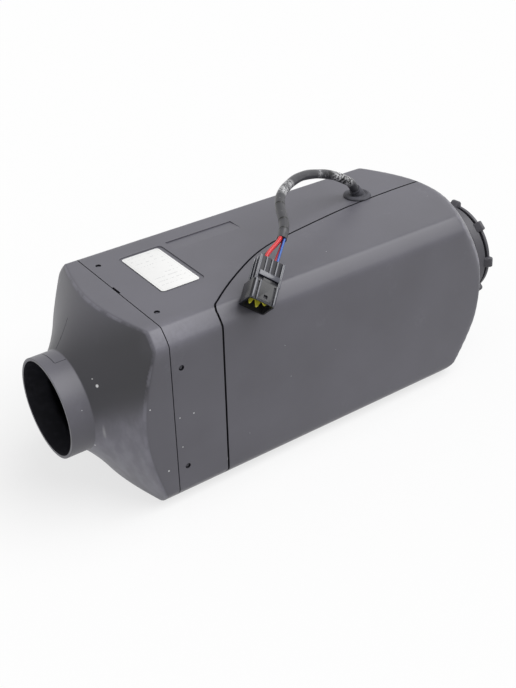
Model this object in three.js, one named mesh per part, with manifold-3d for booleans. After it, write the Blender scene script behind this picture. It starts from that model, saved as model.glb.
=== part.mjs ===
// Diesel air heater, lying on its side as it would on a table.
// Units are millimetres. +X runs along the heater from the hot-air outlet to the cold-air
// inlet, +Z is up, and the origin is on the resting face below the heater's axis.
import * as THREE from "three";
import { mergeVertices } from "three/addons/utils/BufferGeometryUtils.js";
import Module from "manifold-3d";

const wasm = await Module();
wasm.setup();

// ---- general: the gap between pieces that touch, and how far a cutting shape reaches past ----
const fitGap = 0.3;
const overcut = 1;
const seamX = -135;

// ---- casing section ----
const bodyWidth = 136;
const bodyHeight = 144;
const bandDepth = 9.7;
const bandDrop = 11;
const bandBulge = 0.7;
const wall = 2.2;

// ---- outlet hood ----
const collarRadius = 37.5;
const collarLength = 17.6;
const collarSides = 24;
const hoodLength = 45.5;
const hoodFlareSlope = 1.0;
const hoodFlareBend = 0.0167;
const hoodStations = [0, 0.22, 0.4, 0.52, 0.62, 0.72, 0.82];
const creaseBlend = 5;
const spigotLength = 13;
const spigotWall = 1.8;
const spigotRoot = 4;
const pegRadius = 2;
const pegHoleRadius = 2.3;
const pegInset = 8;
const pegSpreadY = 40.6;
const pegSpreadZ = 41.7;
const pegRecess = 1.1;
const latchWidth = 10;
const latchDepth = 1.5;
const latchOffset = 1.5;

// ---- domed inlet end ----
const domeEndRadius = 41;
const domeKneeRadius = 70;
const domeKneeDepth = 11;
const domeShallowSlope = 1.02;
const domeStations = [1, 0.82, 0.55, 0.3, 0];
const domeInnerStations = [1, 0.66, 0.33];

// ---- service cover seam, measured from the hood seam and from the middle plane ----
const seamGap = 0.8;
const coverStart = 42.2;
const seamRun = [
  [0.5, 9], [8.5, 17], [31, 33.5], [61, 51.5], [84, 60.5], [105, 64.5], [147, 71], [180, 74.5], [227, 76],
];
const seamRunEnd = 75;
const seamSamples = 18;
const seamReach = 10;

// ---- recesses and label on the upper face ----
const recessDepth = 0.8;
const labelRecessStart = 23.8;
const labelRecessLength = 36.2;
const labelRecessWidth = 62;
const labelRecessMiddle = 10;
const recessCorner = 4;
const labelMargin = 1.6;
const labelThickness = 0.3;
const stepRecessStart = 65;
const stepRecessLength = 59;
const stepRecessEdge = 42;
const stepRecessRun = 14;

// ---- harness outlet ----
const harnessOffset = 1.3;
const harnessY = 17;
const harnessHoleRadius = 8;
const grommetFlangeRadius = 11.2;
const grommetFlangeHeight = 2;
const grommetNeckRadius = 5;
const grommetNeckLength = 5.3;
const grommetTilt = 35;
const grommetSides = 14;
const grommetTaper = 0.8;
const retainerReach = 2;
const retainerHeight = 2;
const plugFlangeRadius = 10.5;
const plugFlangeHeight = 1.5;
const plugRecess = 0.4;

// ---- heat exchanger ----
const noseGap = 17;
const exchangerLength = 170;
const exchangerRadius = 49;
const exchangerWall = 4;
const finCount = 24;
const finReach = 66;
const finAirGap = 5;
const finThickness = 2.2;
const noseDepth = 14;
const noseTipRadius = 18;
const finTaper = 16;
const flangeThickness = 6;
const flangeGapY = 9.8;
const flangeGapZ = 13.8;
const flangeCorner = 12;
const flangeScrewInset = 9;
const screwRadius = 2.5;
const screwHeadRadius = 4.5;
const screwHeadHeight = 3;
const screwGrip = 12;

// ---- burner ----
const burnerRadius = 30;
const burnerWall = 1.5;
const burnerLength = 142;
const burnerPlateThickness = 2;
const burnerAirHoles = 6;
const burnerAirHoleRadius = 2.5;
const burnerAirHoleSetback = 40;
const burnerAirWayRadius = 8;
const gasketThickness = 1.5;

// ---- service angle: glow plug and sensor sit below this corner of the casing ----
const serviceAngle = 135;
const glowPlugSetback = 18;
const glowPlugReach = 6;
const glowPlugBossHeight = 9;
const glowPlugRodRadius = 2.5;
const glowPlugThreadRadius = 4;
const glowPlugHexRadius = 6;
const glowPlugHexHeight = 5;
const glowPlugBossRadius = 8;
const glowPlugPinRadius = 2;
const glowPlugPinLength = 5;
const sensorX = 58;
const sensorPadHeight = 5;
const sensorRadius = 3;
const sensorLength = 20;
const sensorPocketLength = 44;
const sensorPocketWidth = 18;
const clipThickness = 0.8;
const clipWidth = 8;

// ---- combustion blower ----
const blowerDepth = 37;
const blowerPlateThickness = 8;
const blowerRadius = 50;
const chamberRadius = 38;
const blowerCoverThickness = 3;
const combustionWheelRadius = 33;
const combustionWheelDisc = 2;
const combustionBladeHeight = 9;
const combustionBladeCount = 9;
const combustionBladeThickness = 1.4;
const combustionBladeLean = 0.9;
const combustionHubRadius = 8;
const combustionWheelGap = 4;

// ---- motor ----
const motorRadius = 26;
const motorLength = 43.3;
const motorWall = 3;
const shaftRadius = 3;
const bearingRadius = 8;
const bearingWidth = 5;
const armatureRadius = 16;
const armatureLength = 22;
const armaturePoles = 3;
const poleAngle = 0.9;

// ---- heating-air fan ----
const fanGap = 4;
const fanDepth = 26;
const fanTipRadius = 50;
const fanHubRadius = 30;
const fanNoseRadius = 9;
const fanNeckGap = 2;
const fanBladeCount = 8;
const fanBladeThickness = 1.8;
const fanTwist = 58;
const fanDiscThickness = 3;
const clipRingRadius = 6;
const clipRingWidth = 1.2;
const shaftOverhang = 3;

// ---- intake ring and grille ----
const ringRadius = 37.5;
const ringWall = 3.5;
const ringLength = 22;
const ringSides = 24;
const ringFlangeReach = 4.5;
const ringFlangeThickness = 2;
const ringFlangeSetback = 6.5;
const grilleGap = 15.5;
const grilleDepth = 15.5;
const grilleRadius = 40;
const grilleFace = 3;
const grilleLip = 0.4;
const grilleBars = 8;
const grilleBarWidth = 2.6;
const grilleRingWidth = 2.4;
const grilleHubRadius = 7;
const grilleWindowRings = 2;
const grilleRimWidth = 3.4;
const grilleRimStep = 1.2;
const lugReach = 3.8;
const lugAngle = 10.5;
const lugLength = 8.5;
const lugRamp = 4.5;
const lugStep = 0.2;
const lugBevel = 1.2;
const lugPhase = -4.5;
const slotAngle = 24;
const slotWidth = 3.2;
const slotSetback = 2.8;

// ---- mounting foot, on the +Y side ----
const footLength = 112;
const footHeight = 92;
const footThickness = 9.2;
const footCorner = 10;
const footRise = 2.5;
const footOpeningGap = 0.6;
const footGasketThickness = 3;
const footGasketInset = 1;
const footMargin = 22;
const studRadius = 3;
const studSpacingX = 96;
const studSpacingZ = 72;
const studLength = 34;
const nutRadius = 5.7;
const nutHeight = 5;
const exhaustSetback = 44;
const exhaustRadius = 12;
const stubWall = 1.3;
const stubSides = 16;
const exhaustReach = 36;
const airStubRadius = 12.5;
const airStubReach = 32;
const stubSeatDepth = 7;
const bossWall = 4;
const stubBeadHeight = 0.8;
const fuelPipeRadius = 2.5;
const fuelPipeBore = 1;
const fuelPipeReach = 28;
const fuelPipeOffset = 26;
const fuelSeatDepth = 6;

// ---- control unit, below the service cover ----
const unitGap = 3.8;
const unitDepth = 26;
const unitLength = 44;
const unitHeight = 84;
const unitSetback = 2;
const unitRibs = 6;
const unitPlugLength = 38;
const unitPlugWidth = 20;
const unitPlugHeight = 8;

// ---- harness outside the casing; its route is set by hand and measured from its outlet ----
const sleeveDiameter = 7.6;
const sleeveRoute = [
  [-7.5, 0, 13.2], [-19, -0.3, 21], [-34.5, -1.8, 28.6], [-53, -4.8, 34.4], [-68, -9.2, 36.9],
  [-82, -15.8, 37.2], [-94.5, -24.2, 35.8], [-103.3, -35, 33.5], [-108.8, -45.5, 31.2],
  [-114, -54, 29], [-119, -59.8, 27.2], [-123.6, -63.9, 25.4],
];
const thickWireDiameter = 3;
const thinWireDiameter = 1.8;
const innerCableDiameter = 7;
const leadDiameter = 2;

// ---- leads inside the casing: how far they run straight, and their way under its wall ----
const leadStraight = 4;
const leadDepth = 8;
const leadHook = 10;
const cableStraight = 5;
const cableDrop = 14;

// ---- connector: where its rear face is, from the harness outlet, and how it lies ----
const connectorOffset = [-141.7, -72, 16];
const connectorHeading = 218.7;
const connectorDip = 30;
const connectorRoll = -38;
const connectorLength = 34;
const connectorWidth = 20;
const connectorHeight = 17.4;
const connectorChamfer = 1.2;
const connectorWall = 1.3;
const shroudDepth = 14.4;
const shoulderRise = 6.4;
const shoulderLength = 6;
const ribHeight = 1.1;
const ribWidth = 0.9;
const ribPitch = 4.3;
const ribCount = 5;
const sideRibCount = 3;
const latchStart = 12.6;
const latchLength = 3.2;
const latchHeight = 1;
const latchHalfWidth = 8;
const panelRibs = [-4.9, 7.6];
const cavitySpacingY = 9;
const cavitySpacingZ = 4.9;
const terminalWidth = 2.2;
const terminalThickness = 0.8;
const terminalReach = 7;
const terminalGrip = 6;
const lockPitch = 4.4;
const lockShift = 1.2;
const lockThickness = 1.8;
const lockLength = 7.6;
const lockProng = 6.5;
const lockProngs = 3;

// ---- derived places ----
const connectorFloor = connectorLength - shroudDepth;
const connectorLow = shoulderRise - connectorHeight / 2;
const cavityMiddleZ = (connectorLow + connectorHeight / 2) / 2;
const axisHeight = bodyHeight / 2;
const sideY = bodyWidth / 2;
const collarBaseX = seamX - hoodLength;
const outletX = collarBaseX - collarLength;
const exchangerX = seamX + noseGap;
const exchangerEndX = exchangerX + exchangerLength;
const gasketX = exchangerEndX + fitGap;
const blowerX = gasketX + gasketThickness + fitGap;
const blowerEndX = blowerX + blowerDepth;
const blowerCoverX = blowerEndX + fitGap;
const motorX = blowerCoverX + blowerCoverThickness + fitGap;
const motorEndX = motorX + motorLength;
const fanX = motorEndX + fanGap;
const casingEndX = fanX + fanDepth;
const ringX = casingEndX - ringFlangeSetback;
const grilleX = casingEndX + grilleGap;
const grilleEndX = grilleX + grilleDepth;
const harnessPlace = new THREE.Vector3(motorX + harnessOffset, harnessY, bodyHeight);
const connectorRear = harnessPlace.clone().add(new THREE.Vector3(...connectorOffset));
const flangeHalfY = sideY - wall - flangeGapY;
const flangeHalfZ = axisHeight - wall - flangeGapZ;
const footY = sideY + footRise - footThickness;
const footFaceY = footY + footThickness;
const gasketFaceY = footFaceY + fitGap + footGasketThickness;
const bossY = footY - fitGap;
const studRootY = footY + 1;
const exhaustX = exchangerEndX - exhaustSetback;
const footMiddleX = exhaustX - footMargin + footLength / 2;
const glowPlugX = exchangerEndX - glowPlugSetback;
const glowPlugTip = burnerRadius - glowPlugReach;
const glowPlugSeat = exchangerRadius + glowPlugBossHeight;
const sensorSeat = exchangerRadius + sensorPadHeight;
const glowPlugPinEnd = glowPlugSeat + fitGap + glowPlugHexHeight + glowPlugPinLength;
const airStubX = blowerX + blowerPlateThickness + airStubRadius + 1.4;
const fuelX = blowerX + blowerPlateThickness / 2;
const fuelZ = axisHeight + fuelPipeOffset;

// ---- helpers ----
const radians = THREE.MathUtils.degToRad;

function vector(x, y, z) {
  return new THREE.Vector3(x, y, z);
}

// A point at a distance from the heater's axis, its angle turning from +Y towards +Z.
function polar(x, radius, degrees) {
  const turn = radians(degrees);
  return vector(x, radius * Math.cos(turn), axisHeight + radius * Math.sin(turn));
}

function solid(geometry) {
  const bare = new THREE.BufferGeometry();
  bare.setAttribute("position", geometry.getAttribute("position"));
  bare.setIndex(geometry.getIndex());
  const merged = mergeVertices(bare, 1e-4);
  const corners = merged.getIndex().array;
  const kept = [];
  for (let i = 0; i < corners.length; i += 3) {
    const [a, b, c] = [corners[i], corners[i + 1], corners[i + 2]];
    if (a !== b && b !== c && c !== a) kept.push(a, b, c);
  }
  const points = new Float32Array(merged.getAttribute("position").array);
  const made = closedBody(points, kept);
  return made.volume() > 0 ? made : closedBody(points, kept.reverse());
}

function closedBody(points, corners) {
  const mesh = new wasm.Mesh({ numProp: 3, vertProperties: points, triVerts: new Uint32Array(corners) });
  return new wasm.Manifold(mesh);
}

function joined(...shapes) {
  return shapes.reduce((whole, shape) => whole.add(shape));
}

function cut(whole, ...tools) {
  return tools.reduce((rest, tool) => rest.subtract(tool), whole);
}

function geometryOf(shape) {
  const mesh = shape.getMesh();
  const geometry = new THREE.BufferGeometry();
  geometry.setAttribute("position", new THREE.BufferAttribute(new Float32Array(mesh.vertProperties), 3));
  geometry.setIndex(new THREE.BufferAttribute(new Uint32Array(mesh.triVerts), 1));
  const faceted = geometry.toNonIndexed();
  faceted.computeVertexNormals();
  return faceted;
}

function rod(radius, start, end, sides = 20) {
  const run = end.clone().sub(start);
  const geometry = new THREE.CylinderGeometry(radius, radius, run.length(), sides);
  geometry.applyQuaternion(new THREE.Quaternion().setFromUnitVectors(vector(0, 1, 0), run.normalize()));
  const middle = start.clone().add(end).multiplyScalar(0.5);
  return solid(geometry.translate(middle.x, middle.y, middle.z));
}

function block(low, high) {
  const size = high.clone().sub(low);
  const middle = low.clone().add(high).multiplyScalar(0.5);
  return solid(new THREE.BoxGeometry(size.x, size.y, size.z).translate(middle.x, middle.y, middle.z));
}

// A profile of [x, radius] points turned round the heater's axis.
function turned(profile, sides = 28) {
  const points = profile.map(([x, radius]) => new THREE.Vector2(radius, x));
  const geometry = new THREE.LatheGeometry(points, sides).rotateZ(-Math.PI / 2).rotateX(Math.PI);
  return solid(geometry.translate(0, 0, axisHeight));
}

// A plain disc or drum on the heater's axis.
function drum(start, end, radius, sides) {
  return turned([[start, 0], [start, radius], [end, radius], [end, 0]], sides);
}

function tubeOnAxis(start, end, outer, inner, sides = 28) {
  return turned([[start, inner], [end, inner], [end, outer], [start, outer], [start, inner]], sides);
}

function tubeAlong(outer, inner, start, end, sides) {
  const reach = end.clone().sub(start).setLength(overcut);
  const bore = rod(inner, start.clone().sub(reach), end.clone().add(reach), sides);
  return cut(rod(outer, start, end, sides), bore);
}

function extruded(shape, depth, curveSegments = 6) {
  return new THREE.ExtrudeGeometry(shape, { depth, bevelEnabled: false, curveSegments });
}

// Shapes drawn in a plane square to X (drawn as Y, Z), to Y (as X, Z) or to Z (as X, Y).
function extrudeX(shape, start, end, curveSegments = 6) {
  const geometry = extruded(shape, end - start, curveSegments);
  geometry.applyMatrix4(new THREE.Matrix4().makeBasis(vector(0, 1, 0), vector(0, 0, 1), vector(1, 0, 0)));
  return solid(geometry.translate(start, 0, 0));
}

function extrudeY(shape, start, end, curveSegments = 6) {
  const geometry = extruded(shape, end - start, curveSegments);
  geometry.applyMatrix4(new THREE.Matrix4().makeBasis(vector(1, 0, 0), vector(0, 0, 1), vector(0, -1, 0)));
  return solid(geometry.translate(0, end, 0));
}

function extrudeZ(shape, start, end, curveSegments = 6) {
  return solid(extruded(shape, end - start, curveSegments).translate(0, 0, start));
}

function roundedRectangle(x, y, halfWidth, halfHeight, corner) {
  const shape = new THREE.Shape();
  shape.absarc(x + halfWidth - corner, y + halfHeight - corner, corner, 0, Math.PI / 2, false);
  shape.absarc(x - halfWidth + corner, y + halfHeight - corner, corner, Math.PI / 2, Math.PI, false);
  shape.absarc(x - halfWidth + corner, y - halfHeight + corner, corner, Math.PI, 1.5 * Math.PI, false);
  shape.absarc(x + halfWidth - corner, y - halfHeight + corner, corner, 1.5 * Math.PI, 2 * Math.PI, false);
  shape.closePath();
  return shape;
}

function tubeOnCurve(curve, diameter, steps, sides) {
  const section = new THREE.Shape();
  for (let i = 0; i < sides; i += 1) {
    const turn = (2 * Math.PI * i) / sides;
    const point = [(diameter / 2) * Math.cos(turn), (diameter / 2) * Math.sin(turn)];
    if (i === 0) section.moveTo(...point);
    else section.lineTo(...point);
  }
  section.closePath();
  return solid(new THREE.ExtrudeGeometry(section, { steps, extrudePath: curve, bevelEnabled: false }));
}

function curveThrough(points) {
  return new THREE.CatmullRomCurve3(points, false, "centripetal");
}

// ---- casing surface ----
// The section is a box with soft chamfer bands; it comes as [angle, radius] round the axis.
function sectionOutline(inset, flatSteps, bandSteps) {
  const halfY = sideY - inset;
  const halfZ = axisHeight - inset;
  const shrink = 2 * (1 - Math.SQRT1_2) * inset;
  const depth = bandDepth - shrink;
  const drop = bandDrop - shrink;
  const corner = new THREE.QuadraticBezierCurve(
    new THREE.Vector2(halfY, halfZ - drop),
    new THREE.Vector2(halfY - depth / 2 + bandBulge, halfZ - drop / 2 + bandBulge),
    new THREE.Vector2(halfY - depth, halfZ),
  );
  const points = [];
  for (let i = 0; i < flatSteps; i += 1) points.push([halfY, (halfZ - drop) * ((2 * i) / flatSteps - 1)]);
  for (let i = 0; i < bandSteps; i += 1) points.push(corner.getPoint(i / bandSteps).toArray());
  for (let i = 0; i < flatSteps; i += 1) points.push([(halfY - depth) * (1 - (2 * i) / flatSteps), halfZ]);
  for (let i = 0; i < bandSteps; i += 1) {
    const [y, z] = corner.getPoint(1 - i / bandSteps).toArray();
    points.push([-y, z]);
  }
  const opposite = points.map(([y, z]) => [-y, -z]);
  return points.concat(opposite).map(([y, z]) => [Math.atan2(z, y), Math.hypot(y, z)]);
}

function softMin(a, b, blend) {
  const near = Math.max(blend - Math.abs(a - b), 0) / blend;
  return Math.min(a, b) - (near * near * blend) / 4;
}

function hoodFlare(x, inset) {
  const run = Math.max(x - collarBaseX, 0);
  const slope = hoodFlareSlope + 2 * hoodFlareBend * run;
  const radius = collarRadius + hoodFlareSlope * run + hoodFlareBend * run * run;
  const lean = run > 0 ? Math.hypot(1, slope) : 1;
  return Math.max(radius - inset * lean, collarRadius - inset);
}

function domeFlare(x, inset) {
  const run = Math.max(casingEndX - x, 0);
  const steepSlope = (domeKneeRadius - domeEndRadius) / domeKneeDepth;
  const steep = domeEndRadius + steepSlope * run - inset * Math.hypot(1, steepSlope);
  const kneeRadius = domeKneeRadius + domeShallowSlope * (run - domeKneeDepth);
  return softMin(steep, kneeRadius - inset * Math.hypot(1, domeShallowSlope), creaseBlend);
}

function skin(stations, inset, flare) {
  const outline = inset > 0 ? sectionOutline(inset, 3, 1) : sectionOutline(inset, 5, 2);
  const positions = [];
  const triangles = [];
  for (const x of stations) {
    const limit = flare(x, inset);
    for (const [turn, reach] of outline) {
      const radius = softMin(reach, limit, creaseBlend);
      positions.push(x, radius * Math.cos(turn), axisHeight + radius * Math.sin(turn));
    }
  }
  const count = outline.length;
  const last = stations.length - 1;
  for (let k = 0; k < last; k += 1) {
    for (let i = 0; i < count; i += 1) {
      const [a, b] = [k * count + i, k * count + ((i + 1) % count)];
      triangles.push(a, b, a + count, b, b + count, a + count);
    }
  }
  positions.push(stations[0], 0, axisHeight, stations[last], 0, axisHeight);
  const [startCentre, endCentre] = [count * (last + 1), count * (last + 1) + 1];
  for (let i = 0; i < count; i += 1) {
    const next = (i + 1) % count;
    triangles.push(startCentre, next, i, endCentre, last * count + i, last * count + next);
  }
  const geometry = new THREE.BufferGeometry();
  geometry.setAttribute("position", new THREE.Float32BufferAttribute(positions, 3));
  geometry.setIndex(triangles);
  return solid(geometry);
}

const unlimited = () => 4 * bodyHeight;

// ---- outlet hood ----
function outletHood() {
  const face = seamX - fitGap / 2;
  const stations = hoodStations.map((share) => collarBaseX + share * hoodLength);
  const outer = [outletX, ...stations, face];
  const inner = [...stations.filter((_, i) => i % 2 === 0), face + overcut];
  const bore = drum(outletX - overcut, collarBaseX + overcut, collarRadius - wall, collarSides);
  const shell = cut(skin(outer, 0, hoodFlare), skin(inner, wall, hoodFlare), bore);
  return joined(shell, spigot(face), ...pegPlaces(seamX + pegInset).map(hoodPeg));
}

// The spigot fits inside the casing; its root is a thicker band behind the hood's edge.
function spigot(face) {
  const inset = wall + fitGap;
  const end = seamX + spigotLength;
  const root = skin([face - spigotRoot, face - fitGap / 30], wall / 2, unlimited);
  const sleeve = skin([face - overcut, end], inset, unlimited);
  const hollow = skin([face - spigotRoot - overcut, end + overcut], inset + spigotWall, unlimited);
  return cut(joined(root, sleeve), hollow);
}

// Each place holds the outward direction and the point where it meets the casing's surface.
function pegPlaces(x) {
  const places = [];
  for (const side of [-1, 1]) {
    for (const spread of [-1, 1]) {
      places.push({ out: vector(0, 0, side), at: vector(x, spread * pegSpreadY, axisHeight * (1 + side)) });
      places.push({ out: vector(0, side, 0), at: vector(x, side * sideY, axisHeight + spread * pegSpreadZ) });
    }
  }
  return places;
}

function hoodPeg({ out, at }) {
  const outer = at.clone().addScaledVector(out, -pegRecess);
  const inner = at.clone().addScaledVector(out, -wall - fitGap - spigotWall / 2);
  return rod(pegRadius, inner, outer, 6);
}

function pegHole({ out, at }) {
  const inner = at.clone().addScaledVector(out, -wall - overcut);
  return rod(pegHoleRadius, inner, at.clone().addScaledVector(out, overcut), 6);
}

// ---- casing ----
function casing() {
  const cornerReach = Math.hypot(sideY - bandDepth, axisHeight);
  const domeDepth = domeKneeDepth + (cornerReach - domeKneeRadius) / domeShallowSlope;
  const station = (share) => casingEndX - share * domeDepth;
  const outer = skin([seamX + fitGap / 2, ...domeStations.map(station)], 0, domeFlare);
  const innerStations = [seamX - overcut, ...domeInnerStations.map(station), casingEndX - wall / 2];
  const inner = skin(innerStations, wall, domeFlare);
  const mouth = drum(casingEndX - ringLength, casingEndX + overcut, ringRadius + fitGap, ringSides);
  return cut(outer, inner, mouth);
}

// The plan view of the region that the service cover takes, grown or shrunk by half the gap.
function coverRegion(growth) {
  const front = seamX + coverStart;
  const outside = -sideY - 2 * seamReach;
  const run = [new THREE.Vector2(front, outside), new THREE.Vector2(front, -sideY - seamReach / 2)];
  for (const [along, rise] of seamRun) run.push(new THREE.Vector2(front + along, rise - sideY));
  run.push(new THREE.Vector2(casingEndX + seamReach, seamRunEnd - sideY));
  const curve = new THREE.SplineCurve(run);
  const shape = new THREE.Shape();
  for (let i = 0; i <= seamSamples; i += 1) {
    const point = curve.getPointAt(i / seamSamples);
    const along = curve.getTangentAt(i / seamSamples);
    point.add(new THREE.Vector2(-along.y, along.x).multiplyScalar(growth));
    if (i === 0) shape.moveTo(point.x, point.y);
    else shape.lineTo(point.x, point.y);
  }
  shape.lineTo(casingEndX + seamReach, outside);
  shape.closePath();
  return extrudeZ(shape, -overcut, bodyHeight + overcut);
}

function lowerShell(whole) {
  const shell = cut(whole, coverRegion(seamGap / 2), ...pegPlaces(seamX + pegInset).map(pegHole));
  return cut(shell, latchSlot(), labelRecess(), stepRecess(), footOpening(), harnessHoles());
}

function serviceCover(whole) {
  return whole.intersect(coverRegion(-seamGap / 2));
}

function latchSlot() {
  const half = latchWidth / 2;
  const low = vector(seamX - overcut, latchOffset - half, bodyHeight - wall - overcut);
  return block(low, vector(seamX + latchDepth, latchOffset + half, bodyHeight + overcut));
}

function labelRecess() {
  const half = labelRecessLength / 2;
  const middle = seamX + labelRecessStart + half;
  const shape = roundedRectangle(middle, labelRecessMiddle, half, labelRecessWidth / 2, recessCorner);
  return extrudeZ(shape, bodyHeight - recessDepth, bodyHeight + overcut, 3);
}

// A recess that is deepest at its far edge and runs out towards the cover.
function stepRecess() {
  const shape = new THREE.Shape();
  shape.moveTo(stepRecessEdge - stepRecessRun, bodyHeight);
  shape.lineTo(stepRecessEdge, bodyHeight - recessDepth);
  shape.lineTo(stepRecessEdge, bodyHeight + overcut);
  shape.lineTo(stepRecessEdge - stepRecessRun, bodyHeight + overcut);
  shape.closePath();
  const start = seamX + stepRecessStart;
  return extrudeX(shape, start, start + stepRecessLength);
}

function footOpening() {
  const outline = roundedRectangle(
    footMiddleX, axisHeight, footLength / 2 + footOpeningGap, footHeight / 2 + footOpeningGap, footCorner,
  );
  return extrudeY(outline, sideY - wall - overcut, sideY + overcut, 3);
}

function harnessHoles() {
  const { x, y } = harnessPlace;
  const radius = harnessHoleRadius + fitGap;
  return rod(radius, vector(x, y, -overcut), vector(x, y, bodyHeight + overcut), grommetSides);
}

// ---- small casing pieces ----
function labelPlate() {
  const halfX = labelRecessLength / 2 - labelMargin;
  const halfY = labelRecessWidth / 2 - labelMargin;
  const middle = seamX + labelRecessStart + labelRecessLength / 2;
  const shape = roundedRectangle(middle, labelRecessMiddle, halfX, halfY, recessCorner - labelMargin);
  const low = bodyHeight - recessDepth + fitGap;
  return extrudeZ(shape, low, low + labelThickness, 3);
}

function grommetNeckEnd() {
  const lean = vector(-Math.sin(radians(grommetTilt)), 0, Math.cos(radians(grommetTilt)));
  const foot = harnessPlace.clone().setZ(bodyHeight + fitGap + grommetFlangeHeight);
  return { lean, end: foot.clone().addScaledVector(lean, grommetNeckLength), foot };
}

function harnessGrommet() {
  const { x, y } = harnessPlace;
  const { lean, end, foot } = grommetNeckEnd();
  const top = bodyHeight + fitGap;
  const low = bodyHeight - wall - fitGap;
  const rim = grommetFlangeRadius - grommetTaper;
  const flange = new THREE.CylinderGeometry(rim, grommetFlangeRadius, grommetFlangeHeight, grommetSides);
  flange.rotateX(Math.PI / 2).translate(x, y, top + grommetFlangeHeight / 2);
  const retainer = harnessHoleRadius + retainerReach;
  const neckRoot = foot.clone().addScaledVector(lean, -grommetNeckRadius / 2);
  return joined(
    solid(flange),
    rod(harnessHoleRadius, vector(x, y, low - overcut), vector(x, y, top + overcut), grommetSides),
    rod(retainer, vector(x, y, low - retainerHeight), vector(x, y, low), grommetSides),
    rod(grommetNeckRadius, neckRoot, end, 12),
  );
}

function blankingPlug() {
  const { x, y } = harnessPlace;
  const seat = wall + fitGap;
  return joined(
    rod(harnessHoleRadius, vector(x, y, plugRecess), vector(x, y, seat + overcut), grommetSides),
    rod(plugFlangeRadius, vector(x, y, seat), vector(x, y, seat + plugFlangeHeight), grommetSides),
  );
}

// ---- heat exchanger ----
// One cooling fin: its profile runs along X and outwards, with a slanted front end.
function coolingFin(turn) {
  const root = exchangerRadius - exchangerWall / 2;
  const tip = finTip(turn);
  const start = exchangerX + noseDepth;
  const end = exchangerEndX - flangeThickness / 2;
  const shape = new THREE.Shape();
  shape.moveTo(start, root);
  shape.lineTo(start + finTaper, tip);
  shape.lineTo(end, tip);
  shape.lineTo(end, root);
  shape.closePath();
  const geometry = extruded(shape, finThickness).translate(0, 0, -finThickness / 2).rotateX(turn);
  return solid(geometry.translate(0, 0, axisHeight));
}

// Fins stop short of the casing's flat walls.
function finTip(turn) {
  const limitY = sideY - wall - finAirGap;
  const limitZ = axisHeight - wall - finAirGap;
  return Math.min(finReach, limitY / Math.abs(Math.cos(turn)), limitZ / Math.abs(Math.sin(turn)));
}

function flangePlate(start, end) {
  const outline = roundedRectangle(0, axisHeight, flangeHalfY, flangeHalfZ, flangeCorner);
  return extrudeX(outline, start, end, 3);
}

function flangeScrewPlaces(x) {
  const places = [];
  for (const sideways of [-1, 1]) {
    for (const upwards of [-1, 1]) {
      const y = sideways * (flangeHalfY - flangeScrewInset);
      places.push(vector(x, y, axisHeight + upwards * (flangeHalfZ - flangeScrewInset)));
    }
  }
  return places;
}

function screwHoles(start, end) {
  const radius = screwRadius + fitGap;
  return flangeScrewPlaces(0).map(({ y, z }) => rod(radius, vector(start, y, z), vector(end, y, z), 8));
}

function heatExchanger() {
  const cavity = exchangerRadius - exchangerWall;
  const flangeX = exchangerEndX - flangeThickness;
  const core = turned([
    [exchangerX, 0], [exchangerX, noseTipRadius], [exchangerX + noseDepth * 0.35, exchangerRadius * 0.78],
    [exchangerX + noseDepth, exchangerRadius], [flangeX + overcut, exchangerRadius], [flangeX + overcut, 0],
  ], finCount);
  const fins = [];
  for (let k = 0; k < finCount; k += 1) fins.push(coolingFin((2 * Math.PI * (k + 0.5)) / finCount));
  const inside = turned([
    [exchangerX + exchangerWall, 0], [exchangerX + exchangerWall, noseTipRadius],
    [exchangerX + noseDepth + exchangerWall, cavity], [exchangerEndX + overcut, cavity],
    [exchangerEndX + overcut, 0],
  ], finCount);
  const cleared = joined(core, cut(joined(...fins), serviceWindow()));
  const flange = flangePlate(flangeX, exchangerEndX);
  const body = joined(cleared, flange, exhaustBoss(), glowPlugBoss(), sensorPad());
  const holes = screwHoles(flangeX - screwGrip, exchangerEndX + overcut);
  return cut(body, inside, exhaustWay(), glowPlugHole(), ...holes);
}

function exhaustBoss() {
  const low = vector(exhaustX, exchangerRadius - 2 * exchangerWall, axisHeight);
  return rod(exhaustRadius + fitGap + bossWall, low, vector(exhaustX, bossY, axisHeight), stubSides);
}

function exhaustWay() {
  const end = vector(exhaustX, bossY + overcut, axisHeight);
  const seat = vector(exhaustX, bossY - stubSeatDepth - fitGap, axisHeight);
  const start = vector(exhaustX, exchangerRadius - 3 * exchangerWall, axisHeight);
  const way = rod(exhaustRadius - stubWall, start, end, stubSides);
  return joined(way, rod(exhaustRadius + fitGap, seat, end, stubSides));
}

// Fins are left out round the glow plug and the sensor.
function serviceWindow() {
  const x = glowPlugX;
  const top = finReach + overcut;
  const plugRoom = rod(
    glowPlugBossRadius + overcut, polar(x, glowPlugSeat, serviceAngle), polar(x, top, serviceAngle), 14,
  );
  const pocket = turnedBlock(sensorPocketLength, sensorPocketWidth, sensorSeat, top);
  return joined(plugRoom, pocket);
}

// A block along X at the service angle, between two distances from the axis.
function turnedBlock(length, width, low, high) {
  const geometry = new THREE.BoxGeometry(length, width, high - low);
  geometry.translate(seamX + sensorX, 0, (low + high) / 2).rotateX(radians(serviceAngle - 90));
  return solid(geometry.translate(0, 0, axisHeight));
}

function glowPlugBoss() {
  const root = polar(glowPlugX, exchangerRadius - exchangerWall - overcut, serviceAngle);
  return rod(glowPlugBossRadius, root, polar(glowPlugX, glowPlugSeat, serviceAngle), 14);
}

function glowPlugHole() {
  const start = polar(glowPlugX, exchangerRadius - 2 * exchangerWall, serviceAngle);
  const end = polar(glowPlugX, glowPlugSeat + overcut, serviceAngle);
  return rod(glowPlugThreadRadius + fitGap, start, end, 12);
}

function sensorPad() {
  const length = sensorPocketLength - sensorPocketWidth / 2;
  return turnedBlock(length, sensorPocketWidth - 2, exchangerRadius - exchangerWall - overcut, sensorSeat);
}

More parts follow.
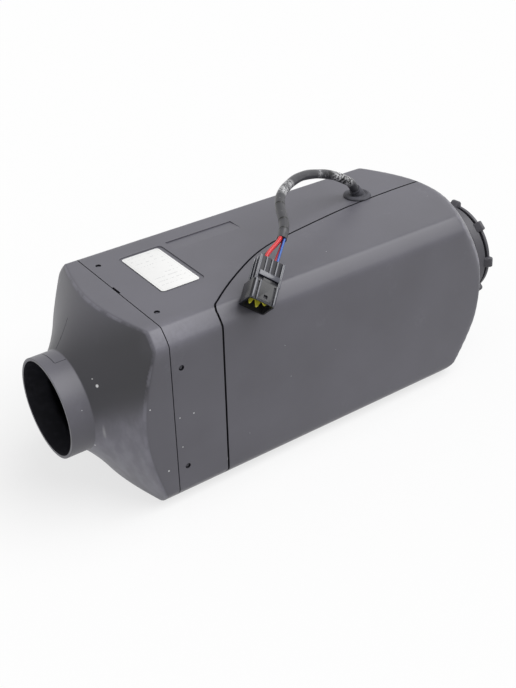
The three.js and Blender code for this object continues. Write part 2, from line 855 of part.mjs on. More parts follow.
function glowPlug() {
  const at = (radius) => polar(glowPlugX, radius, serviceAngle);
  const hexStart = glowPlugSeat + fitGap;
  const hexEnd = hexStart + glowPlugHexHeight;
  return joined(
    rod(glowPlugRodRadius, at(glowPlugTip), at(exchangerRadius), 10),
    rod(glowPlugThreadRadius, at(exchangerRadius - exchangerWall), at(hexStart + overcut), 12),
    rod(glowPlugHexRadius, at(hexStart), at(hexEnd), 6),
    rod(glowPlugPinRadius, at(hexEnd - overcut), at(glowPlugPinEnd), 8),
  );
}

function temperatureSensor() {
  const radius = sensorSeat + fitGap + sensorRadius;
  const start = seamX + sensorX - sensorLength / 2;
  const end = polar(start + sensorLength, radius, serviceAngle);
  return rod(sensorRadius, polar(start, radius, serviceAngle), end, 12);
}

// A spring strip bent over the sensor, with a foot on each side.
function sensorClip() {
  const inner = sensorRadius + fitGap;
  const outer = inner + clipThickness;
  const foot = sensorPocketWidth / 2 - 2;
  const shape = new THREE.Shape();
  shape.moveTo(foot, -sensorRadius);
  shape.lineTo(foot, clipThickness - sensorRadius);
  shape.lineTo(outer, clipThickness - sensorRadius);
  shape.absarc(0, 0, outer, 0, Math.PI, false);
  shape.lineTo(-outer, clipThickness - sensorRadius);
  shape.lineTo(-foot, clipThickness - sensorRadius);
  shape.lineTo(-foot, -sensorRadius);
  shape.lineTo(-inner, -sensorRadius);
  shape.absarc(0, 0, inner, Math.PI, 0, true);
  shape.lineTo(inner, -sensorRadius);
  shape.closePath();
  const geometry = extruded(shape, clipWidth, 4);
  geometry.applyMatrix4(new THREE.Matrix4().makeBasis(vector(0, 1, 0), vector(0, 0, 1), vector(1, 0, 0)));
  geometry.translate(seamX + sensorX - clipWidth / 2, 0, sensorSeat + fitGap + sensorRadius);
  geometry.rotateX(radians(serviceAngle - 90));
  return solid(geometry.translate(0, 0, axisHeight));
}

// ---- burner ----
function burnerTube() {
  const plateStart = exchangerEndX - burnerPlateThickness;
  const start = plateStart - burnerLength;
  const tube = tubeOnAxis(start, plateStart + overcut, burnerRadius, burnerRadius - burnerWall, 16);
  const plate = drum(plateStart, exchangerEndX, exchangerRadius - exchangerWall - fitGap, finCount);
  const holes = [];
  for (let k = 0; k < burnerAirHoles; k += 1) {
    const turn = (360 * (k + 0.5)) / burnerAirHoles;
    holes.push(burnerHole(plateStart - burnerAirHoleSetback, burnerAirHoleRadius, turn, 6));
  }
  const airWay = drum(plateStart - overcut, exchangerEndX + overcut, burnerAirWayRadius, 12);
  const plugWay = burnerHole(glowPlugX, glowPlugRodRadius + 2 * fitGap, serviceAngle, 10);
  return cut(joined(tube, plate), airWay, plugWay, ...holes);
}

function burnerHole(x, radius, turn, sides) {
  const inner = polar(x, burnerRadius - 2 * burnerWall, turn);
  return rod(radius, inner, polar(x, burnerRadius + overcut, turn), sides);
}

function burnerGasket() {
  const plate = flangePlate(gasketX, gasketX + gasketThickness);
  const start = gasketX - overcut;
  const end = gasketX + gasketThickness + overcut;
  return cut(plate, drum(start, end, exchangerRadius - exchangerWall, 16), ...screwHoles(start, end));
}

// ---- combustion blower ----
function blowerHousing() {
  const plateEnd = blowerX + blowerPlateThickness;
  const body = joined(
    flangePlate(blowerX, plateEnd), drum(plateEnd - overcut, blowerEndX, blowerRadius, 18), airBoss(),
  );
  return cut(
    cut(body, drum(plateEnd, blowerEndX + overcut, chamberRadius, 18)), airWay(), fuelSeat(),
    drum(blowerX - overcut, plateEnd + overcut, burnerAirWayRadius, 12),
    ...screwHoles(blowerX - overcut, plateEnd + overcut),
  );
}

// The boss that the combustion-air stub sits in ends level with the housing.
function airBoss() {
  const radius = airStubRadius + fitGap + bossWall / 2;
  const root = vector(airStubX, blowerRadius - bossWall, axisHeight);
  const boss = rod(radius, root, vector(airStubX, bossY, axisHeight), stubSides);
  return cut(boss, block(vector(blowerEndX, 0, 0), vector(blowerEndX + radius, sideY, bodyHeight)));
}

function airWay() {
  const end = vector(airStubX, bossY + overcut, axisHeight);
  const seat = vector(airStubX, bossY - stubSeatDepth - fitGap, axisHeight);
  const start = vector(airStubX, chamberRadius - bossWall, axisHeight);
  const way = rod(airStubRadius - stubWall - 2 * fitGap, start, end, 12);
  return joined(way, rod(airStubRadius + fitGap, seat, end, stubSides));
}

function fuelSeat() {
  const start = vector(fuelX, flangeHalfY - fuelSeatDepth, fuelZ);
  return rod(fuelPipeRadius + fitGap, start, vector(fuelX, flangeHalfY + overcut, fuelZ), 8);
}

function blowerCover() {
  const end = blowerCoverX + blowerCoverThickness;
  return tubeOnAxis(blowerCoverX, end, blowerRadius, shaftRadius + 2, 20);
}

function exchangerScrew({ y, z }) {
  const head = blowerX + blowerPlateThickness + fitGap;
  const end = head + screwHeadHeight;
  const shank = rod(screwRadius, vector(head - screwGrip, y, z), vector(head + overcut, y, z), 8);
  const top = rod(screwHeadRadius, vector(head, y, z), vector(end, y, z), 10);
  const floor = vector(end - screwHeadHeight / 2, y, z);
  const socket = rod(screwHeadRadius / 2, floor, vector(end + overcut, y, z), 6);
  return cut(joined(shank, top), socket);
}

function combustionWheelX() {
  return blowerX + blowerPlateThickness + combustionWheelGap;
}

// Backward-curved blades stand on a disc.
function combustionImpeller() {
  const x = combustionWheelX();
  const discEnd = x + combustionWheelDisc;
  const end = discEnd + combustionBladeHeight;
  const blades = [];
  for (let k = 0; k < combustionBladeCount; k += 1) {
    blades.push(curvedBlade((2 * Math.PI * k) / combustionBladeCount, discEnd - overcut / 2, end));
  }
  const disc = drum(x, discEnd, combustionWheelRadius, 20);
  const hub = drum(x, end, combustionHubRadius, 10);
  return cut(joined(disc, hub, ...blades), drum(x - overcut, end + overcut, shaftRadius + fitGap, 10));
}

function curvedBlade(turn, start, end) {
  const steps = 2;
  const root = combustionHubRadius + 4;
  const tip = combustionWheelRadius - 0.5;
  const edge = (share, aside) => {
    const radius = root + (tip - root) * share;
    const at = turn - ((radius - root) / combustionWheelRadius) * combustionBladeLean + aside / radius;
    return [radius * Math.cos(at), axisHeight + radius * Math.sin(at)];
  };
  const half = combustionBladeThickness / 2;
  const shape = new THREE.Shape();
  shape.moveTo(...edge(0, -half));
  for (let i = 1; i <= steps; i += 1) shape.lineTo(...edge(i / steps, -half));
  for (let i = steps; i >= 0; i -= 1) shape.lineTo(...edge(i / steps, half));
  shape.closePath();
  return extrudeX(shape, start, end);
}

// ---- motor ----
function motorCan() {
  const bore = shaftRadius + 1;
  const seat = bearingRadius + fitGap;
  const seatDepth = bearingWidth + fitGap;
  const hollow = motorRadius - motorWall;
  const endWall = seatDepth + 2;
  return turned([
    [motorX, seat], [motorX + seatDepth, seat], [motorX + seatDepth, bore], [motorX + endWall, bore],
    [motorX + endWall, hollow], [motorEndX - endWall, hollow], [motorEndX - endWall, bore],
    [motorEndX - seatDepth, bore], [motorEndX - seatDepth, seat], [motorEndX, seat],
    [motorEndX, motorRadius - 3], [motorEndX - 3, motorRadius], [motorX, motorRadius], [motorX, seat],
  ], 14);
}

function motorBearing(x) {
  return tubeOnAxis(x, x + bearingWidth, bearingRadius, shaftRadius + fitGap, 12);
}

// A laminated core with its poles' outer faces round and hollows between them.
function motorArmature() {
  const start = (motorX + motorEndX - armatureLength) / 2;
  const shape = new THREE.Shape();
  for (let k = 0; k < armaturePoles; k += 1) {
    const turn = (2 * Math.PI * k) / armaturePoles;
    const next = turn + (2 * Math.PI) / armaturePoles;
    const [from, to] = [turn - poleAngle, turn + poleAngle];
    if (k === 0) shape.moveTo(armatureRadius * Math.cos(from), axisHeight + armatureRadius * Math.sin(from));
    shape.absarc(0, axisHeight, armatureRadius, from, to, false);
    shape.absarc(0, axisHeight, armatureRadius * 0.6, to + 0.08, next - poleAngle - 0.08, false);
  }
  shape.closePath();
  const bore = drum(start - overcut, start + armatureLength + overcut, shaftRadius + fitGap, 12);
  return cut(extrudeX(shape, start, start + armatureLength, 4), bore);
}

function motorShaft() {
  return drum(combustionWheelX() - 1, casingEndX + shaftOverhang, shaftRadius, 12);
}

// ---- heating-air fan ----
// Helical blades grow out of a conical hub and narrow to pass into the intake ring.
function airImpeller() {
  const end = casingEndX;
  const hub = turned([
    [fanX, 0], [fanX, fanHubRadius], [fanX + fanDiscThickness, fanHubRadius],
    [end - 3, fanNoseRadius + 1], [end, fanNoseRadius - 2], [end, 0],
  ], 2 * fanBladeCount);
  const blades = [];
  for (let k = 0; k < fanBladeCount; k += 1) blades.push(helicalBlade((2 * Math.PI * k) / fanBladeCount));
  return cut(joined(hub, ...blades), drum(fanX - overcut, end + overcut, shaftRadius + fitGap, 12));
}

// Each section of a blade holds its place along the fan and the radius of its tip.
function bladeSections() {
  const neck = ringX - fanNeckGap;
  const neckRadius = ringRadius - ringWall - fanNeckGap;
  return [
    [fanX + 1, fanTipRadius], [(fanX + neck) / 2, fanTipRadius], [neck - 0.6, fanTipRadius],
    [neck, neckRadius], [casingEndX - 5, neckRadius - 2], [casingEndX - 2, fanNoseRadius + 4],
  ];
}

function helicalBlade(turn) {
  const sections = bladeSections();
  const positions = [];
  const triangles = [];
  const half = fanBladeThickness / 2;
  const root = fanNoseRadius - 4;
  for (const [x, tip] of sections) {
    const lean = turn + radians(fanTwist) * ((x - fanX) / fanDepth);
    for (const [radius, aside] of [[root, -half], [tip, -half], [tip, half], [root, half]]) {
      const y = radius * Math.cos(lean) - aside * Math.sin(lean);
      positions.push(x, y, axisHeight + radius * Math.sin(lean) + aside * Math.cos(lean));
    }
  }
  for (let k = 0; k + 1 < sections.length; k += 1) {
    for (let i = 0; i < 4; i += 1) {
      const [a, b] = [4 * k + i, 4 * k + ((i + 1) % 4)];
      triangles.push(a, b, a + 4, b, b + 4, a + 4);
    }
  }
  const last = 4 * (sections.length - 1);
  triangles.push(0, 2, 1, 0, 3, 2, last, last + 1, last + 2, last, last + 2, last + 3);
  const geometry = new THREE.BufferGeometry();
  geometry.setAttribute("position", new THREE.Float32BufferAttribute(positions, 3));
  geometry.setIndex(triangles);
  return solid(geometry);
}

function impellerClip() {
  const start = casingEndX + fitGap;
  return tubeOnAxis(start, start + clipRingWidth, clipRingRadius, shaftRadius + fitGap, 12);
}

// ---- intake ring and grille ----
function intakeRing() {
  const inner = ringRadius - ringWall;
  const flangeEnd = ringX + ringFlangeThickness;
  return turned([
    [ringX, inner + 1], [ringX, ringRadius + ringFlangeReach], [flangeEnd, ringRadius + ringFlangeReach],
    [flangeEnd, ringRadius], [casingEndX + ringLength, ringRadius], [casingEndX + ringLength, inner],
    [ringX + 2, inner], [ringX, inner + 1],
  ], ringSides);
}

function sector(low, high, from, to, steps) {
  const shape = new THREE.Shape();
  for (let i = 0; i <= steps; i += 1) {
    const turn = radians(from + ((to - from) * i) / steps);
    if (i === 0) shape.moveTo(high * Math.cos(turn), axisHeight + high * Math.sin(turn));
    else shape.lineTo(high * Math.cos(turn), axisHeight + high * Math.sin(turn));
  }
  for (let i = steps; i >= 0; i -= 1) {
    const turn = radians(from + ((to - from) * i) / steps);
    shape.lineTo(low * Math.cos(turn), axisHeight + low * Math.sin(turn));
  }
  shape.closePath();
  return shape;
}

function inletGrille() {
  const inner = ringRadius + fitGap;
  const rimX = grilleEndX - slotSetback - slotWidth / 2;
  const rimRadius = grilleRadius - grilleRimStep;
  const skirt = turned([
    [grilleX, inner], [grilleX, grilleRadius], [rimX, grilleRadius], [rimX, rimRadius],
    [grilleEndX, rimRadius], [grilleEndX, inner], [grilleX, inner],
  ], ringSides);
  const face = new THREE.Shape();
  face.absarc(0, axisHeight, inner + 1, 0, 2 * Math.PI, false);
  face.holes.push(...grilleWindows());
  const plate = extrudeX(face, grilleEndX - grilleFace, grilleEndX - grilleLip, ringSides / 2);
  const lugs = [];
  const slots = [];
  const pitch = 360 / grilleBars;
  for (let k = 0; k < grilleBars; k += 1) {
    const middle = 90 + lugPhase + pitch * k;
    lugs.push(gripLug(middle));
    slots.push(rimSlot(middle + pitch / 2));
  }
  return cut(joined(skirt, plate, ...lugs), ...slots);
}

function rimSlot(middle) {
  const [from, to] = [middle - slotAngle / 2, middle + slotAngle / 2];
  const shape = sector(ringRadius - 1, grilleRadius + overcut, from, to, 1);
  return extrudeX(shape, grilleEndX - slotSetback - slotWidth, grilleEndX - slotSetback);
}

// A lug's profile runs along X and outwards; it is as wide as its angle at the rim.
function gripLug(middle) {
  const top = grilleRadius + lugReach;
  const width = 2 * top * Math.sin(radians(lugAngle / 2));
  const start = grilleEndX - lugLength;
  const shape = new THREE.Shape();
  const root = ringRadius + fitGap + grilleLip;
  const end = grilleEndX - grilleLip;
  shape.moveTo(start, root);
  shape.lineTo(start, grilleRadius + lugStep);
  shape.lineTo(start + lugRamp, top);
  shape.lineTo(end - lugBevel, top);
  shape.lineTo(end, top - lugBevel);
  shape.lineTo(end, root);
  shape.closePath();
  const geometry = extruded(shape, width).translate(0, 0, -width / 2).rotateX(radians(middle));
  return solid(geometry.translate(0, 0, axisHeight));
}

// Concentric rings of windows, each ring split by the radial bars.
function grilleWindows() {
  const windows = [];
  const reach = grilleRadius - grilleRimWidth - grilleHubRadius;
  const step = reach / grilleWindowRings;
  for (let ring = 0; ring < grilleWindowRings; ring += 1) {
    const low = grilleHubRadius + step * ring + (ring ? grilleRingWidth / 2 : 0);
    const outermost = ring === grilleWindowRings - 1;
    const high = grilleHubRadius + step * (ring + 1) - (outermost ? 0 : grilleRingWidth / 2);
    const spare = THREE.MathUtils.radToDeg(grilleBarWidth / (low + high));
    const pitch = 360 / grilleBars;
    for (let k = 0; k < grilleBars; k += 1) {
      const from = 90 + lugPhase + pitch * k;
      windows.push(sector(low, high, from + spare, from + pitch - spare, 1));
    }
  }
  return windows;
}

// ---- mounting foot ----
function studPlaces() {
  const places = [];
  for (const sideways of [-1, 1]) {
    for (const upwards of [-1, 1]) {
      const x = footMiddleX + (sideways * studSpacingX) / 2;
      places.push(vector(x, 0, axisHeight + (upwards * studSpacingZ) / 2));
    }
  }
  return places;
}

function footPlate(start, end, looseness, shrink) {
  const [halfX, halfZ] = [footLength / 2 - shrink, footHeight / 2 - shrink];
  const outline = roundedRectangle(footMiddleX, axisHeight, halfX, halfZ, footCorner);
  const hole = (radius, x, z, sides) => {
    const low = vector(x, start - overcut, z);
    return rod(radius + looseness, low, vector(x, end + overcut, z), sides);
  };
  return cut(
    extrudeY(outline, start, end, 3),
    hole(exhaustRadius, exhaustX, axisHeight, stubSides),
    hole(airStubRadius, airStubX, axisHeight, stubSides),
    hole(fuelPipeRadius, fuelX, fuelZ, 8),
    ...studPlaces().map(({ x, z }) => hole(studRadius, x, z, 8)),
  );
}

function mountingFoot() {
  return footPlate(footY, footFaceY, fitGap, 0);
}

function footGasket() {
  return footPlate(footFaceY + fitGap, gasketFaceY, 2 * fitGap, footGasketInset);
}

function mountingStud({ x, z }) {
  return rod(studRadius, vector(x, studRootY, z), vector(x, studRootY + studLength, z), 8);
}

function studNut({ x, z }) {
  const start = vector(x, gasketFaceY + fitGap, z);
  const end = vector(x, gasketFaceY + fitGap + nutHeight, z);
  const bore = rod(studRadius + fitGap, vector(x, gasketFaceY, z), end.clone().setY(end.y + overcut), 8);
  return cut(rod(nutRadius, start, end, 6), bore);
}

// A pipe stub along +Y with a retaining bead near its free end.
function pipeStub(x, radius, reach) {
  const start = bossY - stubSeatDepth;
  const end = footFaceY + reach;
  const bore = radius - stubWall;
  const profile = [
    [bore, start], [radius, start], [radius, end - 7], [radius + stubBeadHeight, end - 6],
    [radius + stubBeadHeight, end - 5], [radius, end - 4], [radius, end], [bore, end], [bore, start],
  ];
  const geometry = new THREE.LatheGeometry(profile.map((point) => new THREE.Vector2(...point)), stubSides);
  return solid(geometry.translate(x, 0, axisHeight));
}

function fuelPipe() {
  const start = vector(fuelX, flangeHalfY - fuelSeatDepth + fitGap, fuelZ);
  return tubeAlong(fuelPipeRadius, fuelPipeBore, start, vector(fuelX, footFaceY + fuelPipeReach, fuelZ), 8);
}

// ---- control unit ----
function unitBox() {
  const outerY = -(sideY - wall - unitGap);
  const endX = motorEndX + fanGap - unitSetback;
  const low = vector(endX - unitLength, outerY, axisHeight - unitHeight / 2);
  return { low, high: vector(endX, outerY + unitDepth, axisHeight + unitHeight / 2) };
}

function controlUnit() {
  const { low, high } = unitBox();
  const parts = [block(low.clone().add(vector(0, 2, 0)), high)];
  const pitch = unitHeight / (2 * unitRibs - 1);
  for (let k = 0; k < unitRibs; k += 1) {
    const from = low.z + 2 * k * pitch;
    parts.push(block(vector(low.x + 1, low.y, from), vector(high.x - 1, low.y + 3, from + pitch)));
  }
  return joined(...parts);
}

function unitPlugBox() {
  const { low, high } = unitBox();
  const middleX = (low.x + high.x) / 2;
  const middleY = (low.y + high.y) / 2;
  const base = high.z + fitGap;
  return {
    low: vector(middleX - unitPlugLength / 2, middleY - unitPlugWidth / 2, base),
    high: vector(middleX + unitPlugLength / 2, middleY + unitPlugWidth / 2, base + unitPlugHeight),
  };
}

function controlUnitPlug() {
  const { low, high } = unitPlugBox();
  const latchLow = vector((low.x + high.x) / 2 - 4, low.y, high.z - 0.5);
  return joined(block(low, high), block(latchLow, vector(latchLow.x + 8, low.y + 9, high.z + 1.5)));
}

// ---- leads inside the casing ----
function innerHarness() {
  const { low, high } = unitPlugBox();
  const { x, y } = harnessPlace;
  const top = bodyHeight - wall - 2 * fitGap - retainerHeight;
  const level = (low.z + high.z) / 2;
  const plugX = high.x - leadHook;
  return tubeOnCurve(curveThrough([
    vector(x, y, top), vector(x, y, top - cableStraight), vector(x + 2, y - 5, top - cableDrop),
    vector(x + 8, y - 20, level), vector(plugX, high.y + 16, level),
    vector(plugX, high.y + cableStraight, level), vector(plugX, high.y + fitGap, level),
  ]), innerCableDiameter, 10, 8);
}

// A point below the casing's wall, at an angle round the axis.
function underWall(x, degrees, extra = 0) {
  const across = Math.abs(Math.cos(radians(degrees)));
  const upwards = Math.abs(Math.sin(radians(degrees)));
  const [halfY, halfZ] = [sideY - wall, axisHeight - wall];
  const corner = halfY * bandDrop + (halfZ - bandDrop) * bandDepth;
  const band = corner / (across * bandDrop + upwards * bandDepth);
  return polar(x, Math.min(halfY / across, halfZ / upwards, band) - leadDepth - extra, degrees);
}

function sensorLead() {
  const { low, high } = unitPlugBox();
  const start = seamX + sensorX + sensorLength / 2 + fitGap;
  const level = sensorSeat + fitGap + sensorRadius;
  return tubeOnCurve(curveThrough([
    polar(start, level, serviceAngle), polar(start + leadStraight, level, serviceAngle),
    underWall(start + 3 * leadStraight, serviceAngle, 2), underWall(start + sensorX / 2, serviceAngle),
    underWall(exchangerEndX + 18, serviceAngle + 4),
    vector(low.x - leadStraight, low.y + 4, high.z + 7), vector(low.x + 6, low.y + 4, high.z + 8),
    vector(low.x + leadHook, low.y + 4, high.z + leadStraight),
    vector(low.x + leadHook, low.y + 4, high.z + fitGap),
  ]), leadDiameter, 14, 6);
}

function glowPlugLead() {
  const { low, high } = unitPlugBox();
  const x = glowPlugX;
  return tubeOnCurve(curveThrough([
    polar(x, glowPlugPinEnd + fitGap, serviceAngle), polar(x, glowPlugPinEnd + leadStraight, serviceAngle),
    underWall(x + 5, serviceAngle - 2), underWall(exchangerEndX + 22, serviceAngle - 7),
    vector(low.x + 6, high.y - 5, high.z + 9),
    vector(low.x + leadHook, high.y - 5, high.z + leadStraight),
    vector(low.x + leadHook, high.y - 5, high.z + fitGap),
  ]), leadDiameter, 11, 6);
}

function motorLead() {
  const { high } = unitBox();
  const x = motorX + 14;
  const turn = serviceAngle + 15;
  return tubeOnCurve(curveThrough([
    polar(x, motorRadius + fitGap, turn), polar(x, motorRadius + leadStraight, turn),
    vector(x, high.y + leadStraight, axisHeight + 23), vector(x, high.y + fitGap, axisHeight + 23),
  ]), leadDiameter, 6, 6);
}

// ---- connector, drawn along +X from its rear face, +Z being the face with the latch ----
function connectorOutline(shrink) {
  const halfY = connectorWidth / 2 - shrink;
  const halfZ = connectorHeight / 2 - shrink;
  const bevel = connectorChamfer - shrink / 2;
  const shape = new THREE.Shape();
  shape.moveTo(halfY, -halfZ + bevel);
  shape.lineTo(halfY, halfZ - bevel);
  shape.lineTo(halfY - bevel, halfZ);
  shape.lineTo(-halfY + bevel, halfZ);
  shape.lineTo(-halfY, halfZ - bevel);
  shape.lineTo(-halfY, -halfZ + bevel);
  shape.lineTo(-halfY + bevel, -halfZ);
  shape.lineTo(halfY - bevel, -halfZ);
  shape.closePath();
  return shape;
}

function cavityPlaces() {
  const places = [];
  for (const upwards of [1, -1]) {
    for (const sideways of [-1, 1]) {
      const z = cavityMiddleZ + (upwards * cavitySpacingZ) / 2;
      places.push([(sideways * cavitySpacingY) / 2, z]);
    }
  }
  return places;
}

// A rib along the housing between two heights or two sides.
function connectorRib(start, end, [lowY, highY], [lowZ, highZ]) {
  return block(vector(start, lowY, lowZ), vector(end, highY, highZ));
}

// Ribs on the top and the sides of the low rear part, and two beside the flat panel in front.
function connectorRibs() {
  const [halfY, halfZ, half] = [connectorWidth / 2, connectorHeight / 2, ribWidth / 2];
  const ribs = [];
  for (let k = 0; k < ribCount; k += 1) {
    const y = (k - (ribCount - 1) / 2) * ribPitch;
    ribs.push(connectorRib(0, connectorFloor, [y - half, y + half], [connectorLow, halfZ]));
  }
  const pitch = (halfZ - connectorLow - ribWidth) / (sideRibCount - 1);
  for (let k = 0; k < sideRibCount; k += 1) {
    const z = connectorLow + pitch * k;
    for (const side of [[-halfY, 2 * ribHeight - halfY], [halfY - 2 * ribHeight, halfY]]) {
      ribs.push(connectorRib(0, connectorFloor, side, [z, z + ribWidth]));
    }
  }
  for (const y of panelRibs) {
    const across = [y - half, y + half];
    ribs.push(connectorRib(connectorFloor - 1, connectorLength, across, [halfZ - 1, halfZ + half]));
  }
  return ribs;
}

function connectorHousing() {
  const floor = connectorFloor;
  const [halfY, halfZ] = [connectorWidth / 2, connectorHeight / 2];
  const latch = [halfZ - 2 * ribHeight, halfZ + latchHeight];
  const shoulder = new THREE.Shape();
  shoulder.moveTo(floor - shoulderLength, connectorLow);
  shoulder.lineTo(floor, connectorChamfer - halfZ);
  shoulder.lineTo(floor, connectorLow + ribHeight);
  shoulder.lineTo(floor - shoulderLength, connectorLow + ribHeight);
  shoulder.closePath();
  const parts = [
    extrudeX(connectorOutline(0), floor - connectorWall, connectorLength),
    block(
      vector(0, ribHeight - halfY, connectorLow + ribHeight),
      vector(floor, halfY - ribHeight, halfZ - ribHeight),
    ),
    extrudeY(shoulder, connectorChamfer - halfY, halfY - connectorChamfer),
    connectorRib(latchStart, latchStart + latchLength, [-latchHalfWidth, latchHalfWidth], latch),
    ...connectorRibs(),
  ];
  const shroud = extrudeX(connectorOutline(connectorWall), floor, connectorLength + overcut);
  const radius = thickWireDiameter / 2 + fitGap;
  const cavities = cavityPlaces().map(([y, z]) => {
    return rod(radius, vector(-overcut, y, z), vector(floor + overcut, y, z), 8);
  });
  return cut(joined(...parts), shroud, ...cavities);
}

function connectorTerminal([y, z]) {
  const floor = connectorFloor;
  const [halfY, halfZ] = [terminalWidth / 2, terminalThickness / 2];
  const start = vector(floor - terminalGrip, y, z);
  const barrel = rod(thickWireDiameter / 2, start, vector(floor + fitGap, y, z), 8);
  const tongueEnd = vector(floor + terminalReach, y + halfY, z + halfZ);
  return joined(barrel, block(vector(floor, y - halfY, z - halfZ), tongueEnd));
}

// The yellow lock is a flat tongue with pointed prongs, just below the lower terminals.
function wedgeLock() {
  const start = connectorFloor + fitGap;
  const root = start + lockLength;
  const half = (lockProngs * lockPitch) / 2;
  const shape = new THREE.Shape();
  shape.moveTo(start, lockShift - half);
  for (let k = 0; k < lockProngs; k += 1) {
    const y = lockShift - half + lockPitch * k;
    shape.lineTo(root, y);
    shape.lineTo(root + lockProng, y + lockPitch / 2);
  }
  shape.lineTo(root, lockShift + half);
  shape.lineTo(start, lockShift + half);
  shape.closePath();
  const lowest = Math.min(...cavityPlaces().map(([, z]) => z));
  const top = lowest - terminalThickness / 2 - fitGap;
  return extrudeZ(shape, top - lockThickness, top);
}

// ---- harness outside the casing ----
function sleeveCurve() {
  const { lean, end } = grommetNeckEnd();
  const route = sleeveRoute.map((point) => vector(...point).add(harnessPlace));
  return curveThrough([end.clone().addScaledVector(lean, fitGap), ...route]);
}

function harnessSleeve() {
  return tubeOnCurve(sleeveCurve(), sleeveDiameter, 14, 8);
}

// Places of the wires in the sleeve, from side to side and up, in the connector's order.
const bundlePlaces = [[-1.65, 1.1], [1.3, 1.9], [-0.9, -1.95], [1.8, -0.9]];

function harnessWire(index, diameter) {
  const curve = sleeveCurve();
  const end = curve.getPoint(1);
  const run = curve.getTangent(1);
  const turn = connectorTurn();
  const axis = vector(1, 0, 0).applyEuler(turn);
  const aside = vector(0, 1, 0).applyEuler(turn);
  const up = vector(0, 0, 1).applyEuler(turn);
  const [sideways, upwards] = bundlePlaces[index];
  const [y, z] = cavityPlaces()[index];
  const bundleUp = up.clone().addScaledVector(run, -up.dot(run)).normalize();
  const bundleSide = bundleUp.clone().cross(run);
  const start = end.clone().addScaledVector(run, fitGap);
  start.addScaledVector(bundleSide, sideways).addScaledVector(bundleUp, upwards);
  const finish = connectorRear.clone().addScaledVector(axis, -fitGap);
  finish.addScaledVector(aside, y).addScaledVector(up, z);
  const reach = start.distanceTo(finish) / 3;
  const path = new THREE.CubicBezierCurve3(
    start, start.clone().addScaledVector(run, reach), finish.clone().addScaledVector(axis, -reach), finish,
  );
  return tubeOnCurve(path, diameter, 5, 8);
}

function connectorTurn() {
  return new THREE.Euler(radians(connectorRoll), radians(connectorDip), radians(connectorHeading), "ZYX");
}

// ---- materials ----
function material(color, roughness, metalness) {
  return new THREE.MeshStandardMaterial({ color, roughness, metalness });
}

const casingPlastic = () => material("#55555b", 0.62, 0);
const softRubber = () => material("#2c2c2f", 0.75, 0);
const castAluminium = () => material("#a9abad", 0.5, 0.9);
const steel = () => material("#9a9a98", 0.35, 1);
const blackPlastic = () => material("#1b1b1d", 0.4, 0);
const leadInsulation = () => material("#202022", 0.55, 0);

// ---- assembly ----
const heater = new THREE.Group();

function add(name, shape, finish, parent = heater) {
  const mesh = new THREE.Mesh(geometryOf(shape), finish);
  mesh.name = name;
  parent.add(mesh);
  return mesh;
}

function addCasing() {
  const whole = casing();
  add("lower_shell", lowerShell(whole), casingPlastic());
  add("service_cover", serviceCover(whole), casingPlastic());
  add("outlet_hood", outletHood(), casingPlastic());
  add("intake_ring", intakeRing(), material("#1d1d1f", 0.6, 0));
  add("inlet_grille", inletGrille(), casingPlastic());
  add("label_plate", labelPlate(), material("#f2f2f0", 0.5, 0));
  add("harness_grommet", harnessGrommet(), softRubber());
  add("blanking_plug", blankingPlug(), softRubber());
}

function addHotSide() {
  add("heat_exchanger", heatExchanger(), castAluminium());
  add("burner_tube", burnerTube(), material("#8c867c", 0.45, 1));
  add("burner_gasket", burnerGasket(), material("#3b3a38", 0.9, 0));
  add("glow_plug", glowPlug(), steel());
  add("temperature_sensor", temperatureSensor(), material("#b87333", 0.35, 1));
  add("sensor_clip", sensorClip(), steel());
  flangeScrewPlaces(0).forEach((place, i) => add(`exchanger_screw_${i + 1}`, exchangerScrew(place), steel()));
}

function addColdSide() {
  add("blower_housing", blowerHousing(), castAluminium());
  add("blower_cover", blowerCover(), castAluminium());
  add("combustion_impeller", combustionImpeller(), blackPlastic());
  add("motor_can", motorCan(), steel());
  add("motor_bearing_front", motorBearing(motorX + fitGap / 2), steel());
  add("motor_bearing_rear", motorBearing(motorEndX - bearingWidth - fitGap / 2), steel());
  add("motor_armature", motorArmature(), material("#8a5a3a", 0.5, 0.6));
  add("motor_shaft", motorShaft(), steel());
  add("air_impeller", airImpeller(), blackPlastic());
  add("impeller_clip", impellerClip(), steel());
  add("control_unit", controlUnit(), blackPlastic());
  add("control_unit_plug", controlUnitPlug(), material("#e8e6df", 0.5, 0));
}

function addFoot() {
  add("mounting_foot", mountingFoot(), castAluminium());
  add("foot_gasket", footGasket(), softRubber());
  add("exhaust_stub", pipeStub(exhaustX, exhaustRadius, exhaustReach), steel());
  add("combustion_air_stub", pipeStub(airStubX, airStubRadius, airStubReach), castAluminium());
  add("fuel_pipe", fuelPipe(), steel());
  studPlaces().forEach((place, i) => add(`mounting_stud_${i + 1}`, mountingStud(place), steel()));
  studPlaces().forEach((place, i) => add(`stud_nut_${i + 1}`, studNut(place), steel()));
}

function addLeads() {
  add("inner_harness", innerHarness(), leadInsulation());
  add("sensor_lead", sensorLead(), leadInsulation());
  add("glow_plug_lead", glowPlugLead(), leadInsulation());
  add("motor_lead", motorLead(), leadInsulation());
}

